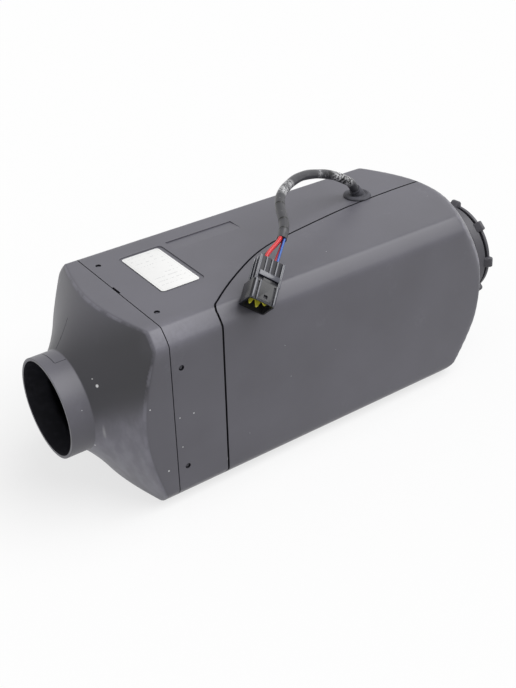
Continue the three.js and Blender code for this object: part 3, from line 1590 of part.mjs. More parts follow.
function addHarness() {
  add("harness_sleeve", harnessSleeve(), material("#3f3f42", 0.7, 0));
  add("wire_positive", harnessWire(0, thickWireDiameter), material("#d8352f", 0.45, 0));
  add("wire_signal", harnessWire(1, thinWireDiameter), material("#3f7fd0", 0.45, 0));
  add("wire_negative", harnessWire(2, thickWireDiameter), leadInsulation());
  add("wire_sensor", harnessWire(3, thinWireDiameter), material("#b8322c", 0.45, 0));
  const connector = new THREE.Group();
  connector.position.copy(connectorRear);
  connector.rotation.copy(connectorTurn());
  heater.add(connector);
  add("connector_housing", connectorHousing(), material("#141416", 0.25, 0), connector);
  add("wedge_lock", wedgeLock(), material("#c9c72f", 0.45, 0), connector);
  cavityPlaces().forEach((place, i) => {
    add(`connector_terminal_${i + 1}`, connectorTerminal(place), steel(), connector);
  });
}

addCasing();
addHotSide();
addColdSide();
addFoot();
addLeads();
addHarness();

export default heater;
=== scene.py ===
"""Looks of a diesel air heater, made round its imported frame.

Lengths are in millimetres in the classes and in metres in every mesh. +X runs from the hot-air
outlet to the cold-air inlet, +Z is up, and the origin is on the resting face below the axis.
"""
import logging
import math
from collections.abc import Callable, Iterable, Sequence
from dataclasses import dataclass, field
from enum import Enum

import bmesh
import bpy
import numpy as np
from mathutils import Matrix, Vector


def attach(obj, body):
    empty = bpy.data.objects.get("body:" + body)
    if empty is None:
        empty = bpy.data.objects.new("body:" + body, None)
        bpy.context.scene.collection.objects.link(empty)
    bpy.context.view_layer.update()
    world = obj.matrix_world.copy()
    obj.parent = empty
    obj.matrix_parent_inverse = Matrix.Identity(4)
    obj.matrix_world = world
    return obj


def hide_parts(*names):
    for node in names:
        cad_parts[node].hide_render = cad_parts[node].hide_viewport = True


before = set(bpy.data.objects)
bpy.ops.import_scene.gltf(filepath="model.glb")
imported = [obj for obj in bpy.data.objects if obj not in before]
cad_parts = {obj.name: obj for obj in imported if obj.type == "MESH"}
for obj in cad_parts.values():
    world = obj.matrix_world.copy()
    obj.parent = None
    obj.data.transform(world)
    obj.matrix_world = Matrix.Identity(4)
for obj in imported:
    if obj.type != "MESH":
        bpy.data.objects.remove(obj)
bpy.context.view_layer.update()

LOG = logging.getLogger("heater")
MM = 0.001
AXIS_Z = 72.0
SPINE = ((0, 0, AXIS_Z), (1, 0, 0))  # the long axis: a point on it and its way
TIP = 0.001  # the radius at which a turned profile closes on its axis
HARNESS_EXIT = (96.0, 17.0)  # x and y of the harness's holes
MOVES_WITH = "casing"  # the body that every dressed piece rides on
WHITE = (1.0, 1.0, 1.0)
DIM_SURROUND = 0.34  # the world's strength for everything that the camera doesn't see
FLOOR_GLOW = 0.72  # the share of its own light that makes the floor look white
FLOOR_HALF = 3000.0
Pair = tuple[float, float]
Point = tuple[float, float, float]
Colour = tuple[float, float, float]
Object = bpy.types.Object
Socket = bpy.types.NodeSocket


def srgb(code: str) -> Colour:
    """Turns a colour such as "5a5a60", as seen on a screen, into the shader's linear values."""
    parts = [int(code[i : i + 2], 16) / 255 for i in (0, 2, 4)]
    return tuple(c / 12.92 if c <= 0.04045 else ((c + 0.055) / 1.055) ** 2.4 for c in parts)


# ---------------------------------------------------------------- node trees


class NodeTree:
    """Adds nodes to one tree and links them."""

    def __init__(self, tree: bpy.types.NodeTree) -> None:
        """Keeps the tree that the nodes go into.

        Args:
            tree: A shader or geometry node tree.
        """
        self.tree = tree

    def add(self, kind: str, settings: dict | None = None, inputs: dict | None = None) -> bpy.types.Node:
        """Adds one node.

        Args:
            kind: The node's type, such as "ShaderNodeMath".
            settings: The node's own options, set before its sockets.
            inputs: Values, sockets or fields by socket name or number.

        Returns:
            The new node.
        """
        node = self.tree.nodes.new(kind)
        for key, value in (settings or {}).items():
            setattr(node, key, value)
        for key, value in (inputs or {}).items():
            self.join(node.inputs[key], value)
        return node

    def join(self, socket: Socket, value: object) -> None:
        """Links a socket or field to a socket, or sets the socket's own value.

        Args:
            socket: The socket that takes the value.
            value: A field, a socket or a plain value.
        """
        if isinstance(value, Field):
            value = value.socket
        if isinstance(value, Socket):
            self.tree.links.new(value, socket)
        elif isinstance(value, tuple) and len(value) == 3 and socket.type == "RGBA":
            socket.default_value = (*value, 1.0)
        else:
            socket.default_value = value


class Field:
    """A shader socket that adds Math nodes when it is used in an expression."""

    def __init__(self, tree: NodeTree, socket: Socket) -> None:
        """Wraps a socket.

        Args:
            tree: The tree that holds the socket's node.
            socket: An output socket with a number.
        """
        self.tree = tree
        self.socket = socket

    def _math(self, operation: str, first: object, second: object = None) -> "Field":
        """Adds one Math node.

        Args:
            operation: The node's operation.
            first: The first value.
            second: The second value, if the operation has one.

        Returns:
            The result as a field.
        """
        values = {0: first} if second is None else {0: first, 1: second}
        node = self.tree.add("ShaderNodeMath", {"operation": operation}, values)
        return Field(self.tree, node.outputs[0])

    def __add__(self, other: object) -> "Field":
        """Sum."""
        return self._math("ADD", self, other)

    def __radd__(self, other: float) -> "Field":
        """Sum with a number in front."""
        return self._math("ADD", other, self)

    def __sub__(self, other: object) -> "Field":
        """Difference."""
        return self._math("SUBTRACT", self, other)

    def __rsub__(self, other: float) -> "Field":
        """Difference from a number."""
        return self._math("SUBTRACT", other, self)

    def __mul__(self, other: object) -> "Field":
        """Product."""
        return self._math("MULTIPLY", self, other)

    def __rmul__(self, other: float) -> "Field":
        """Product with a number in front."""
        return self._math("MULTIPLY", other, self)

    def __truediv__(self, other: object) -> "Field":
        """Quotient."""
        return self._math("DIVIDE", self, other)

    def __pow__(self, other: object) -> "Field":
        """Power."""
        return self._math("POWER", self, other)

    def __abs__(self) -> "Field":
        """Distance from 0."""
        return self._math("ABSOLUTE", self)

    def over(self, limit: float) -> "Field":
        """1 where the value is above the limit, else 0."""
        return self._math("GREATER_THAN", self, limit)

    def top(self, other: object) -> "Field":
        """The larger of two values."""
        return self._math("MAXIMUM", self, other)

    def low(self, other: object) -> "Field":
        """The smaller of two values."""
        return self._math("MINIMUM", self, other)

    def modulo(self, period: float) -> "Field":
        """What is left after division."""
        return self._math("MODULO", self, period)

    def ease(self, start: float, end: float) -> "Field":
        """A smooth step that is 0 at start and 1 at end.

        Args:
            start: The value that gives 0.
            end: The value that gives 1.

        Returns:
            The step as a field.
        """
        flipped = start > end
        low, high = (end, start) if flipped else (start, end)
        values = {"Value": self, "From Min": low, "From Max": high}
        values |= {"To Min": float(flipped), "To Max": float(not flipped)}
        node = self.tree.add("ShaderNodeMapRange", {"interpolation_type": "SMOOTHSTEP"}, values)
        return Field(self.tree, node.outputs["Result"])


class Surface(NodeTree):
    """One material's tree, with its main shader and the piece's own coordinates."""

    def __init__(self, name: str) -> None:
        """Makes an empty material with one main shader.

        Args:
            name: The material's name.
        """
        self.material = bpy.data.materials.new(name)
        self.material.use_nodes = True
        super().__init__(self.material.node_tree)
        self.tree.nodes.clear()
        self.shader = self.add("ShaderNodeBsdfPrincipled")
        self.output = self.add("ShaderNodeOutputMaterial", None, {"Surface": self.shader.outputs[0]})
        self.place = self.add("ShaderNodeTexCoord").outputs["Object"]

    def set(self, **values: object) -> None:
        """Sets or links the main shader's sockets; an underscore stands for a space in a name.

        Args:
            **values: Socket names and what they take.
        """
        for key, value in values.items():
            self.join(self.shader.inputs[key.replace("_", " ")], value)

    def axes(self) -> tuple[Field, Field, Field]:
        """The place's three coordinates, in millimetres."""
        scaled = self.add("ShaderNodeVectorMath", {"operation": "SCALE"}, {0: self.place, "Scale": 1 / MM})
        node = self.add("ShaderNodeSeparateXYZ", None, {0: scaled.outputs[0]})
        return tuple(Field(self, output) for output in node.outputs)

    def off_axis(self) -> Field:
        """The distance from the heater's long axis, in millimetres."""
        _, y, z = self.axes()
        return (y * y + (z - AXIS_Z) * (z - AXIS_Z)) ** 0.5

    def noise(self, size: float, detail: float = 2.0, where: object = None, roughness: float = 0.5) -> Field:
        """Cloudy noise.

        Args:
            size: The size of its lumps, in millimetres.
            detail: How many finer layers it has.
            where: The coordinates, or the piece's own.
            roughness: How strong the finer layers are.

        Returns:
            Values round 0.5.
        """
        values = {"Vector": where or self.place, "Scale": 1 / (size * MM)}
        values |= {"Detail": detail, "Roughness": roughness}
        node = self.add("ShaderNodeTexNoise", None, values)
        return Field(self, node.outputs[0])

    def stretched(self, x: float, y: float, z: float) -> Socket:
        """The piece's coordinates, scaled along each axis.

        Args:
            x: Factor along X.
            y: Factor along Y.
            z: Factor along Z.

        Returns:
            The scaled coordinates.
        """
        return self.add("ShaderNodeMapping", None, {"Vector": self.place, "Scale": (x, y, z)}).outputs[0]

    def cells(self, size: float) -> Field:
        """Distance to the nearest of scattered points, in units of their spacing.

        Args:
            size: The points' spacing, in millimetres.

        Returns:
            The distance as a field.
        """
        node = self.add("ShaderNodeTexVoronoi", None, {"Vector": self.place, "Scale": 1 / (size * MM)})
        return Field(self, node.outputs["Distance"])

    def near(self, point: Point, reach: float, soft: float, squeeze: Point = (1.0, 1.0, 1.0)) -> Field:
        """A mask that is 1 near a point and fades out.

        Args:
            point: The middle, in millimetres.
            reach: Where the mask has gone to 0, in millimetres.
            soft: How much of the reach fades, from 0 to 1.
            squeeze: How much shorter the reach is along each axis.

        Returns:
            The mask.
        """
        middle = tuple(c * MM for c in point)
        away = self.add("ShaderNodeVectorMath", {"operation": "SUBTRACT"}, {0: self.place, 1: middle})
        away = self.add("ShaderNodeVectorMath", {"operation": "MULTIPLY"}, {0: away.outputs[0], 1: squeeze})
        node = self.add("ShaderNodeVectorMath", {"operation": "LENGTH"}, {0: away.outputs[0]})
        return Field(self, node.outputs["Value"]).ease(reach * MM, reach * (1 - soft) * MM)

    def blend(self, first: object, second: object, share: object) -> Socket:
        """Mixes two colours.

        Args:
            first: The colour at share 0.
            second: The colour at share 1.
            share: How much of the second colour there is.

        Returns:
            The mixed colour.
        """
        node = self.add("ShaderNodeMix", {"data_type": "RGBA"})
        self.join(node.inputs[0], share)
        for socket, value in ((node.inputs[6], first), (node.inputs[7], second)):
            self.join(socket, value)
        return node.outputs[2]

    def bump(self, height: Field, depth: float, strength: float) -> Socket:
        """Turns a height into a normal.

        Args:
            height: The height, from 0 to 1.
            depth: How high 1 is, in millimetres.
            strength: How much of it shows.

        Returns:
            The normal.
        """
        values = {"Height": height, "Distance": depth * MM, "Strength": strength}
        return self.add("ShaderNodeBump", None, values).outputs[0]


# ---------------------------------------------------------------- finishes


@dataclass(frozen=True)
class Finish:
    """A finish with a colour and a roughness."""

    name: str
    colour: Colour
    roughness: float = 0.5

    def material(self) -> bpy.types.Material:
        """The finish's material, made once."""
        title = f"finish_{self.name}"
        found = bpy.data.materials.get(title)
        if found is None:
            surface = Surface(title)
            surface.set(Base_Color=self.colour, Roughness=self.roughness)
            self.paint(surface)
            found = surface.material
        return found

    def paint(self, surface: Surface) -> None:
        """Adds what a kind of finish has of its own.

        Args:
            surface: The material in the making.
        """

    def shade(self, factor: float) -> Colour:
        """The finish's colour, lighter above 1 and darker below it."""
        return tuple(min(c * factor, 1.0) for c in self.colour)


@dataclass(frozen=True)
class MouldedPlastic(Finish):
    """Spark-grained moulded plastic with clouding, rubbed spots, hair scratches and dust, and with pale edges,
    patches and an end ring that are partly wear and partly a painted highlight.
    """

    grain: float = 0.55
    grain_depth: float = 0.05
    clouding: float = 0.06
    rubbed: float = 0.3
    dust: float = 1.0
    dust_and_highlight_colour: Colour = srgb("f0f0f1")
    nicks: tuple[tuple[Point, float], ...] = ()  # place and reach
    scuffs: tuple[tuple[Point, float, Point], ...] = ()  # place, reach and squeeze, as for the rubbed patches with their painted highlight
    rubs_and_highlights: tuple[tuple[Point, float, Point], ...] = ()
    worn_lit_ring: Pair | None = None  # x and radius of a pale edge line, partly wear and partly a painted highlight
    arris_wear_and_highlight: float = 0.4

    def paint(self, surface: Surface) -> None:
        """Paints the grain, the pale edges and rubbed patches, partly wear and partly a painted highlight, and
        the small marks of handling.
        """
        clouds = surface.noise(60, 3) - 0.5
        fine = surface.noise(self.grain, 2)
        rub = surface.noise(26, 5, roughness=0.6).ease(0.60, 0.74) * surface.noise(3.0, 3).ease(0.42, 0.62)
        scratch = self._scratches(surface)
        mark = (rub + scratch * 0.5) * self.rubbed
        base = surface.blend(self.shade(1 - self.clouding * 4), self.shade(1 + self.clouding * 4), clouds + 0.5)
        base = surface.blend(base, self.shade(1.9), mark * 0.35)
        # rubbed patches: partly real wear, partly a painted highlight
        for point, reach, squeeze in self.rubs_and_highlights:
            patchy = surface.noise(4, 4).ease(0.3, 0.7) * 0.4 + 0.6
            base = surface.blend(base, self.shade(1.55), surface.near(point, reach, 0.9, squeeze) * patchy)
        base = self.tint_and_painted_light(surface, base)
        # a pale line along the hood's and the dome's creases: partly edge wear, partly a painted highlight
        gap = self._limit_gap(surface)
        pale_mask = gap.ease(2.8, 1.4) * gap.ease(0.2, 0.7) * surface.noise(11, 3).ease(0.34, 0.62)
        base = surface.blend(base, self.shade(2.6), pale_mask * self.arris_wear_and_highlight)
        specks_and_edge_highlight = surface.cells(17).ease(0.022, 0.012) * surface.noise(40, 1).ease(0.5, 0.56) * self.dust
        for point, reach in self.nicks:
            specks_and_edge_highlight = specks_and_edge_highlight.top(surface.near(point, reach, 0.3))
        for point, reach, squeeze in self.scuffs:
            specks_and_edge_highlight = specks_and_edge_highlight.top(surface.near(point, reach, 0.9, squeeze) * 0.3)
        # the dome's end edge: a pale line, partly wear and partly a painted highlight
        if self.worn_lit_ring:
            specks_and_edge_highlight = specks_and_edge_highlight.top(self._ring(surface, *self.worn_lit_ring))
        base = surface.blend(base, self.dust_and_highlight_colour, specks_and_edge_highlight)
        rough = self.roughness + (fine - 0.5) * 0.1 + clouds * 0.12 - rub * 0.06
        surface.set(Base_Color=base, Roughness=rough)
        surface.set(Normal=surface.bump(fine, self.grain_depth, 0.6))

    def tint_and_painted_light(self, surface: Surface, base: Socket) -> Socket:
        """The plastic's colour under the specks, which a kind of plastic may change, as the hood's plastic does
        with painted shade and a painted highlight.

        Args:
            surface: The material in the making.
            base: The colour so far.

        Returns:
            The colour to go on with.
        """
        return base

    @staticmethod
    def _limit_gap(surface: Surface) -> Field:
        """How far a point is inside the hood's cone and the dome.

        Args:
            surface: The material in the making.

        Returns:
            The smaller distance, 0 on the cone and on the dome.
        """
        form = CasingForm()
        x, _, _ = surface.axes()
        run = (x - form.collar_x).top(0.0)
        hood = run * run * form.flare_bend + run * form.flare_slope + form.collar_radius
        tail = form.end_x - x
        steep = tail * form.dome_rise + form.dome_end_radius
        shallow = (tail - form.dome_knee_depth) * form.dome_slope + form.dome_knee_radius
        near = (form.crease - abs(steep - shallow)).top(0.0) / form.crease
        dome = steep.low(shallow) - near * near * (form.crease / 4)
        return hood.low(dome) - surface.off_axis()

    @staticmethod
    def _ring(surface: Surface, x: float, radius: float) -> Field:
        """A thin pale line on an edge round the axis: partly wear, partly a painted highlight.

        Args:
            surface: The material in the making.
            x: The edge's place.
            radius: Its distance from the axis.

        Returns:
            The line's mask.
        """
        along, _, _ = surface.axes()
        away = surface.off_axis() - radius
        off = ((along - x) * (along - x) + away * away) ** 0.5
        return off.ease(0.9, 0.3) * surface.noise(7, 2).ease(0.3, 0.55) * 0.35

    @staticmethod
    def _scratches(surface: Surface) -> Field:
        """Fine hair lines in two directions.

        Args:
            surface: The material in the making.

        Returns:
            1 on a scratch, else 0.
        """
        lines = []
        for stretch in ((0.05, 1.0, 1.0), (0.6, 0.08, 1.0)):
            where = surface.stretched(*stretch)
            line = abs(surface.noise(5.0, 1, where) - 0.5).ease(0.006, 0.0)
            lines.append(line * surface.noise(45, 2).ease(0.55, 0.68))
        return lines[0].top(lines[1])


@dataclass(frozen=True)
class HoodPlastic(MouldedPlastic):
    """The casing's plastic with a painted dark reflection and a paler smear, partly real smudges and partly a
    painted highlight, on the hood's drawn-in faces.
    """

    # how strong the painted dark reflection is, and the paler smear with its painted highlight
    painted_shade: float = 0.65
    smear_and_highlight: float = 1.0

    def tint_and_painted_light(self, surface: Surface, base: Socket) -> Socket:
        """The plastic's colour with the painted dark reflection and the smear with its painted highlight.

        Args:
            surface: The material in the making.
            base: The colour so far.

        Returns:
            The colour to go on with.
        """
        x, y, z = surface.axes()
        collar = CasingForm().collar_x
        drawn = self._limit_gap(surface).ease(4.0, 0.0)
        drawn = drawn * x.ease(collar - 0.5, collar + 0.5) * x.ease(-100, -110)
        lean = z - AXIS_Z + y * 0.6
        # painted shade: a dark reflection painted on the cone's upper side
        dark = drawn * lean.ease(-55, 5) * lean.ease(75, 30) * self.painted_shade
        base = surface.blend(base, self.shade(0.05), dark)
        # a paler smear low on the cone: partly real smudges, partly a painted highlight
        streaks = surface.noise(9, 4, surface.stretched(1, 1, 0.5)).ease(0.35, 0.7) * 0.4 + 0.6
        return surface.blend(base, self.shade(2.4), drawn * lean.ease(-8, -42) * streaks * self.smear_and_highlight)


@dataclass(frozen=True)
class GlossPlastic(Finish):
    """Smooth glossy moulded plastic with faint flow marks."""

    gloss: float = 0.5

    def paint(self, surface: Surface) -> None:
        """Paints the flow marks."""
        flow = surface.noise(9, 2, surface.stretched(1, 0.3, 1))
        surface.set(Roughness=self.roughness + (flow - 0.5) * 0.12, Specular_IOR_Level=self.gloss)
        surface.set(Normal=surface.bump(flow, 0.15, 0.35))


@dataclass(frozen=True)
class Rubber(Finish):
    """Matt rubber with bloom in its hollows."""

    gloss: float = 0.3

    def paint(self, surface: Surface) -> None:
        """Paints the bloom."""
        bloom = surface.noise(4, 4).ease(0.45, 0.7)
        surface.set(Base_Color=surface.blend(self.colour, self.shade(1.8), bloom * 0.4))
        surface.set(Roughness=self.roughness + bloom * 0.1, Specular_IOR_Level=self.gloss)
        surface.set(Normal=surface.bump(surface.noise(0.7, 2), 0.06, 0.5))


@dataclass(frozen=True)
class VinylSleeve(Finish):
    """Satin vinyl tape wound round a bundle, scuffed pale where it is bent, with painted shade in its creases
    near its exit.
    """

    scuffs: tuple[tuple[Point, float], ...] = ()
    tape_ends: tuple[float, ...] = ()
    crease_shades: tuple[tuple[Point, float], ...] = ()
    pale: Colour = srgb("dcdcde")
    dark: Colour = srgb("080809")

    def paint(self, surface: Surface) -> None:
        """Paints the scuffs, the tape's dark edges, painted shade in the creases and the soft wrinkles."""
        pale_mask = surface.noise(2.5, 5).ease(0.66, 0.74) * 0.2
        speckle = surface.noise(1.7, 4, roughness=0.7).ease(0.42, 0.52)
        for point, reach in self.scuffs:
            pale_mask = pale_mask.top(surface.near(point, reach, 0.75) * speckle)
        along = Field(surface, surface.add("ShaderNodeAttribute", {"attribute_name": "along"}).outputs["Fac"])
        edge = along * 0.0
        for place in self.tape_ends:
            edge = edge.top(abs(along - place).ease(0.011, 0.006))
        # painted shade in the creases near the exit
        for point, reach in self.crease_shades:
            edge = edge.top(surface.near(point, reach, 0.5) * surface.noise(2.0, 3).ease(0.5, 0.56))
        soft = surface.noise(7, 2)
        base = surface.blend(self.shade(0.7), self.shade(1.5), soft)
        base = surface.blend(base, self.pale, pale_mask.low(0.95))
        surface.set(Base_Color=surface.blend(base, self.dark, edge))
        surface.set(Roughness=self.roughness + pale_mask * 0.2, Specular_IOR_Level=0.45)
        surface.set(Normal=surface.bump(soft + surface.noise(1.2, 2) * 0.3, 0.4, 0.5))


@dataclass(frozen=True)
class WireSkin(Finish):
    """Extruded lead insulation."""

    def paint(self, surface: Surface) -> None:
        """Paints faint dirt on the insulation."""
        dirt = surface.noise(3, 3).ease(0.5, 0.75)
        surface.set(Base_Color=surface.blend(self.colour, self.shade(0.6), dirt * 0.5))
        surface.set(Roughness=self.roughness + dirt * 0.15)


@dataclass(frozen=True)
class CastMetal(Finish):
    """As-cast light metal: dull, pebbled and unevenly stained."""

    metal: float = 0.85
    stain: float = 0.3

    def paint(self, surface: Surface) -> None:
        """Paints the casting skin."""
        pebble = surface.noise(0.9, 3)
        stain = surface.noise(14, 4).ease(0.4, 0.7)
        surface.set(Base_Color=surface.blend(self.colour, self.shade(0.55), stain * self.stain))
        surface.set(Metallic=self.metal, Roughness=self.roughness + (pebble - 0.5) * 0.2 + stain * 0.1)
        surface.set(Normal=surface.bump(pebble, 0.12, 0.6))


@dataclass(frozen=True)
class BrightMetal(Finish):
    """Drawn, turned or plated metal with fine lines along X."""

    def paint(self, surface: Surface) -> None:
        """Paints the fine lines and a little tarnish."""
        lines = surface.noise(0.5, 2, surface.stretched(0.06, 1, 1))
        tarnish = surface.noise(6, 3).ease(0.5, 0.75)
        surface.set(Base_Color=surface.blend(self.colour, self.shade(0.6), tarnish * 0.35))
        surface.set(Metallic=1.0, Roughness=self.roughness + (lines - 0.5) * 0.15 + tarnish * 0.12)
        surface.set(Normal=surface.bump(lines, 0.02, 0.4))


@dataclass(frozen=True)
class LabelFilm(Finish):
    """White label film with faint broken rules, a border and no words."""

    middle: Pair = (0.0, 0.0)
    half: Pair = (1.0, 1.0)
    row_pitch: float = 5.2
    ink_colour: Colour = srgb("8b8b92")

    def paint(self, surface: Surface) -> None:
        """Paints the border and the faint broken rules."""
        x, y, _ = surface.axes()
        across, along = abs(x - self.middle[0]), abs(y - self.middle[1])
        edge = (across - (self.half[0] - 1.6)).top(along - (self.half[1] - 1.6))
        border = abs(edge).ease(0.3, 0.1)
        inside = (0.0 - edge).over(1.6)
        row = (y - self.middle[1] + self.half[1]).modulo(self.row_pitch)
        strokes = surface.noise(1.3, 1, surface.stretched(1, 0.12, 1)).ease(0.5, 0.56)
        strokes = strokes * surface.noise(14, 1).ease(0.4, 0.5)
        ruled = abs(row - self.row_pitch / 2).ease(0.45, 0.2) * inside * strokes
        paper = surface.blend(self.shade(0.97), self.colour, surface.noise(5, 3))
        ink = (border * 0.2).top(ruled * 0.4)
        surface.set(Base_Color=surface.blend(paper, self.ink_colour, ink), Roughness=self.roughness)
        surface.set(Coat_Weight=0.25, Coat_Roughness=0.2)


@dataclass(frozen=True)
class FibreBoard(Finish):
    """Pressed fibre gasket board."""

    def paint(self, surface: Surface) -> None:
        """Paints the fibres."""
        fibre = surface.noise(1.1, 4, surface.stretched(1, 0.25, 1))
        surface.set(Base_Color=surface.blend(self.shade(0.7), self.shade(1.5), fibre))
        surface.set(Normal=surface.bump(fibre, 0.15, 0.6))


CHARCOAL = srgb("5f5e66")
RUBBED_LIT_CORNER = ((-132, -64, 139), 17.0, (0.35, 1, 1))  # on both sides of the hood's seam: partly rubbed wear, partly a painted highlight


class Finishes(Enum):
    """The heater's finishes."""

    CASING = MouldedPlastic(
        "grained_charcoal", CHARCOAL, 0.43, rubs_and_highlights=(RUBBED_LIT_CORNER,), worn_lit_ring=(168.2, 40.8),
        nicks=(((-119.6, -68, 73.2), 0.6), ((-130.9, -68, 74), 0.5), ((-130.2, -68, 48.6), 0.5)),
    )
    HOOD = HoodPlastic(
        "grained_charcoal_hood", CHARCOAL, 0.43,
        nicks=(
            ((-174, -34.8, 100.5), 1.3), ((-174.9, -30.2, 104.1), 0.6), ((-153.2, -67.8, 90.6), 0.6),
            ((-144.5, -44.2, 143), 0.6), ((-142.8, -68, 33.3), 0.7), ((-179.7, -32.2, 51.4), 0.8),
        ),
        rubs_and_highlights=(RUBBED_LIT_CORNER,), scuffs=(((-175.7, -41.7, 67), 8.0, (4, 5, 1)),),
    )
    GRILLE = MouldedPlastic("grained_charcoal_grille", srgb("4b4a50"), 0.5, dust=0.0, arris_wear_and_highlight=0.0)
    BLACK = Rubber("matt_black", srgb("101011"), 0.7, 0.1)
    INSIDE = Rubber("unlit_inside", srgb("26262c"), 0.45, 0.35)
    RUBBER = Rubber("grommet_rubber", srgb("4a4a50"), 0.6)
    VINYL = VinylSleeve(
        "sleeve_vinyl", srgb("3d3d41"), 0.34,
        scuffs=(
            ((13.6, 0.9, 181), 7), ((5.3, -4.7, 180.2), 8), ((52, 13.6, 176), 5), ((74, 16.7, 167), 12),
            ((84, 17, 160), 8),
        ),
        tape_ends=(0.66, 0.79, 0.89), crease_shades=(((78, 16.9, 165), 15), ((62, 15, 173), 9)),
    )
    RED = WireSkin("wire_red", srgb("d4262d"), 0.3)
    BLUE = WireSkin("wire_blue", srgb("2f63b8"), 0.3)
    LEAD = WireSkin("wire_black", srgb("151517"), 0.4)
    NYLON = WireSkin("nylon_white", srgb("d2cfc4"), 0.5)
    CONNECTOR = GlossPlastic("connector_black", srgb("0f1017"), 0.2, 0.4)
    LOCK = GlossPlastic("lock_yellow", srgb("e8e24a"), 0.35, 0.4)
    # a lighter copy of the connector's black: painted highlight on the ribs and the mouth's rim
    RIB_HIGHLIGHT = GlossPlastic("connector_rib_highlight", srgb("3c3e4a"), 0.2, 0.8)
    CASTING = CastMetal("cast_aluminium", srgb("8d8f91"), 0.5)
    BURNER = CastMetal("burner_steel", srgb("8a8176"), 0.45, 1.0, 0.6)
    STEEL = BrightMetal("zinc_steel", srgb("b0b0ac"), 0.32)
    BRASS = BrightMetal("sensor_brass", srgb("c39a55"), 0.3)
    COPPER = BrightMetal("armature_copper", srgb("9a6240"), 0.4)
    TIN = BrightMetal("terminal_tin", srgb("8f8f8c"), 0.35)
    GASKET = FibreBoard("gasket_board", srgb("3b3a38"), 0.9)
    LABEL = LabelFilm("label_film", srgb("f8f8f7"), 0.4, (-94.0, 9.6), (15.6, 29.0))

    @property
    def material(self) -> bpy.types.Material:
        """The finish's material."""
        return self.value.material()


# ---------------------------------------------------------------- meshes


class Plane(Enum):
    """The plane of a flat outline, as the axes of its two directions and of the way it is raised."""

    XY = (0, 1, 2)
    XZ = (0, 2, 1)
    YZ = (1, 2, 0)


class Boolean(Enum):
    """What becomes of a solid and its tools."""

    CUT = "DIFFERENCE"
    JOINED = "UNION"
    SHARED = "INTERSECT"


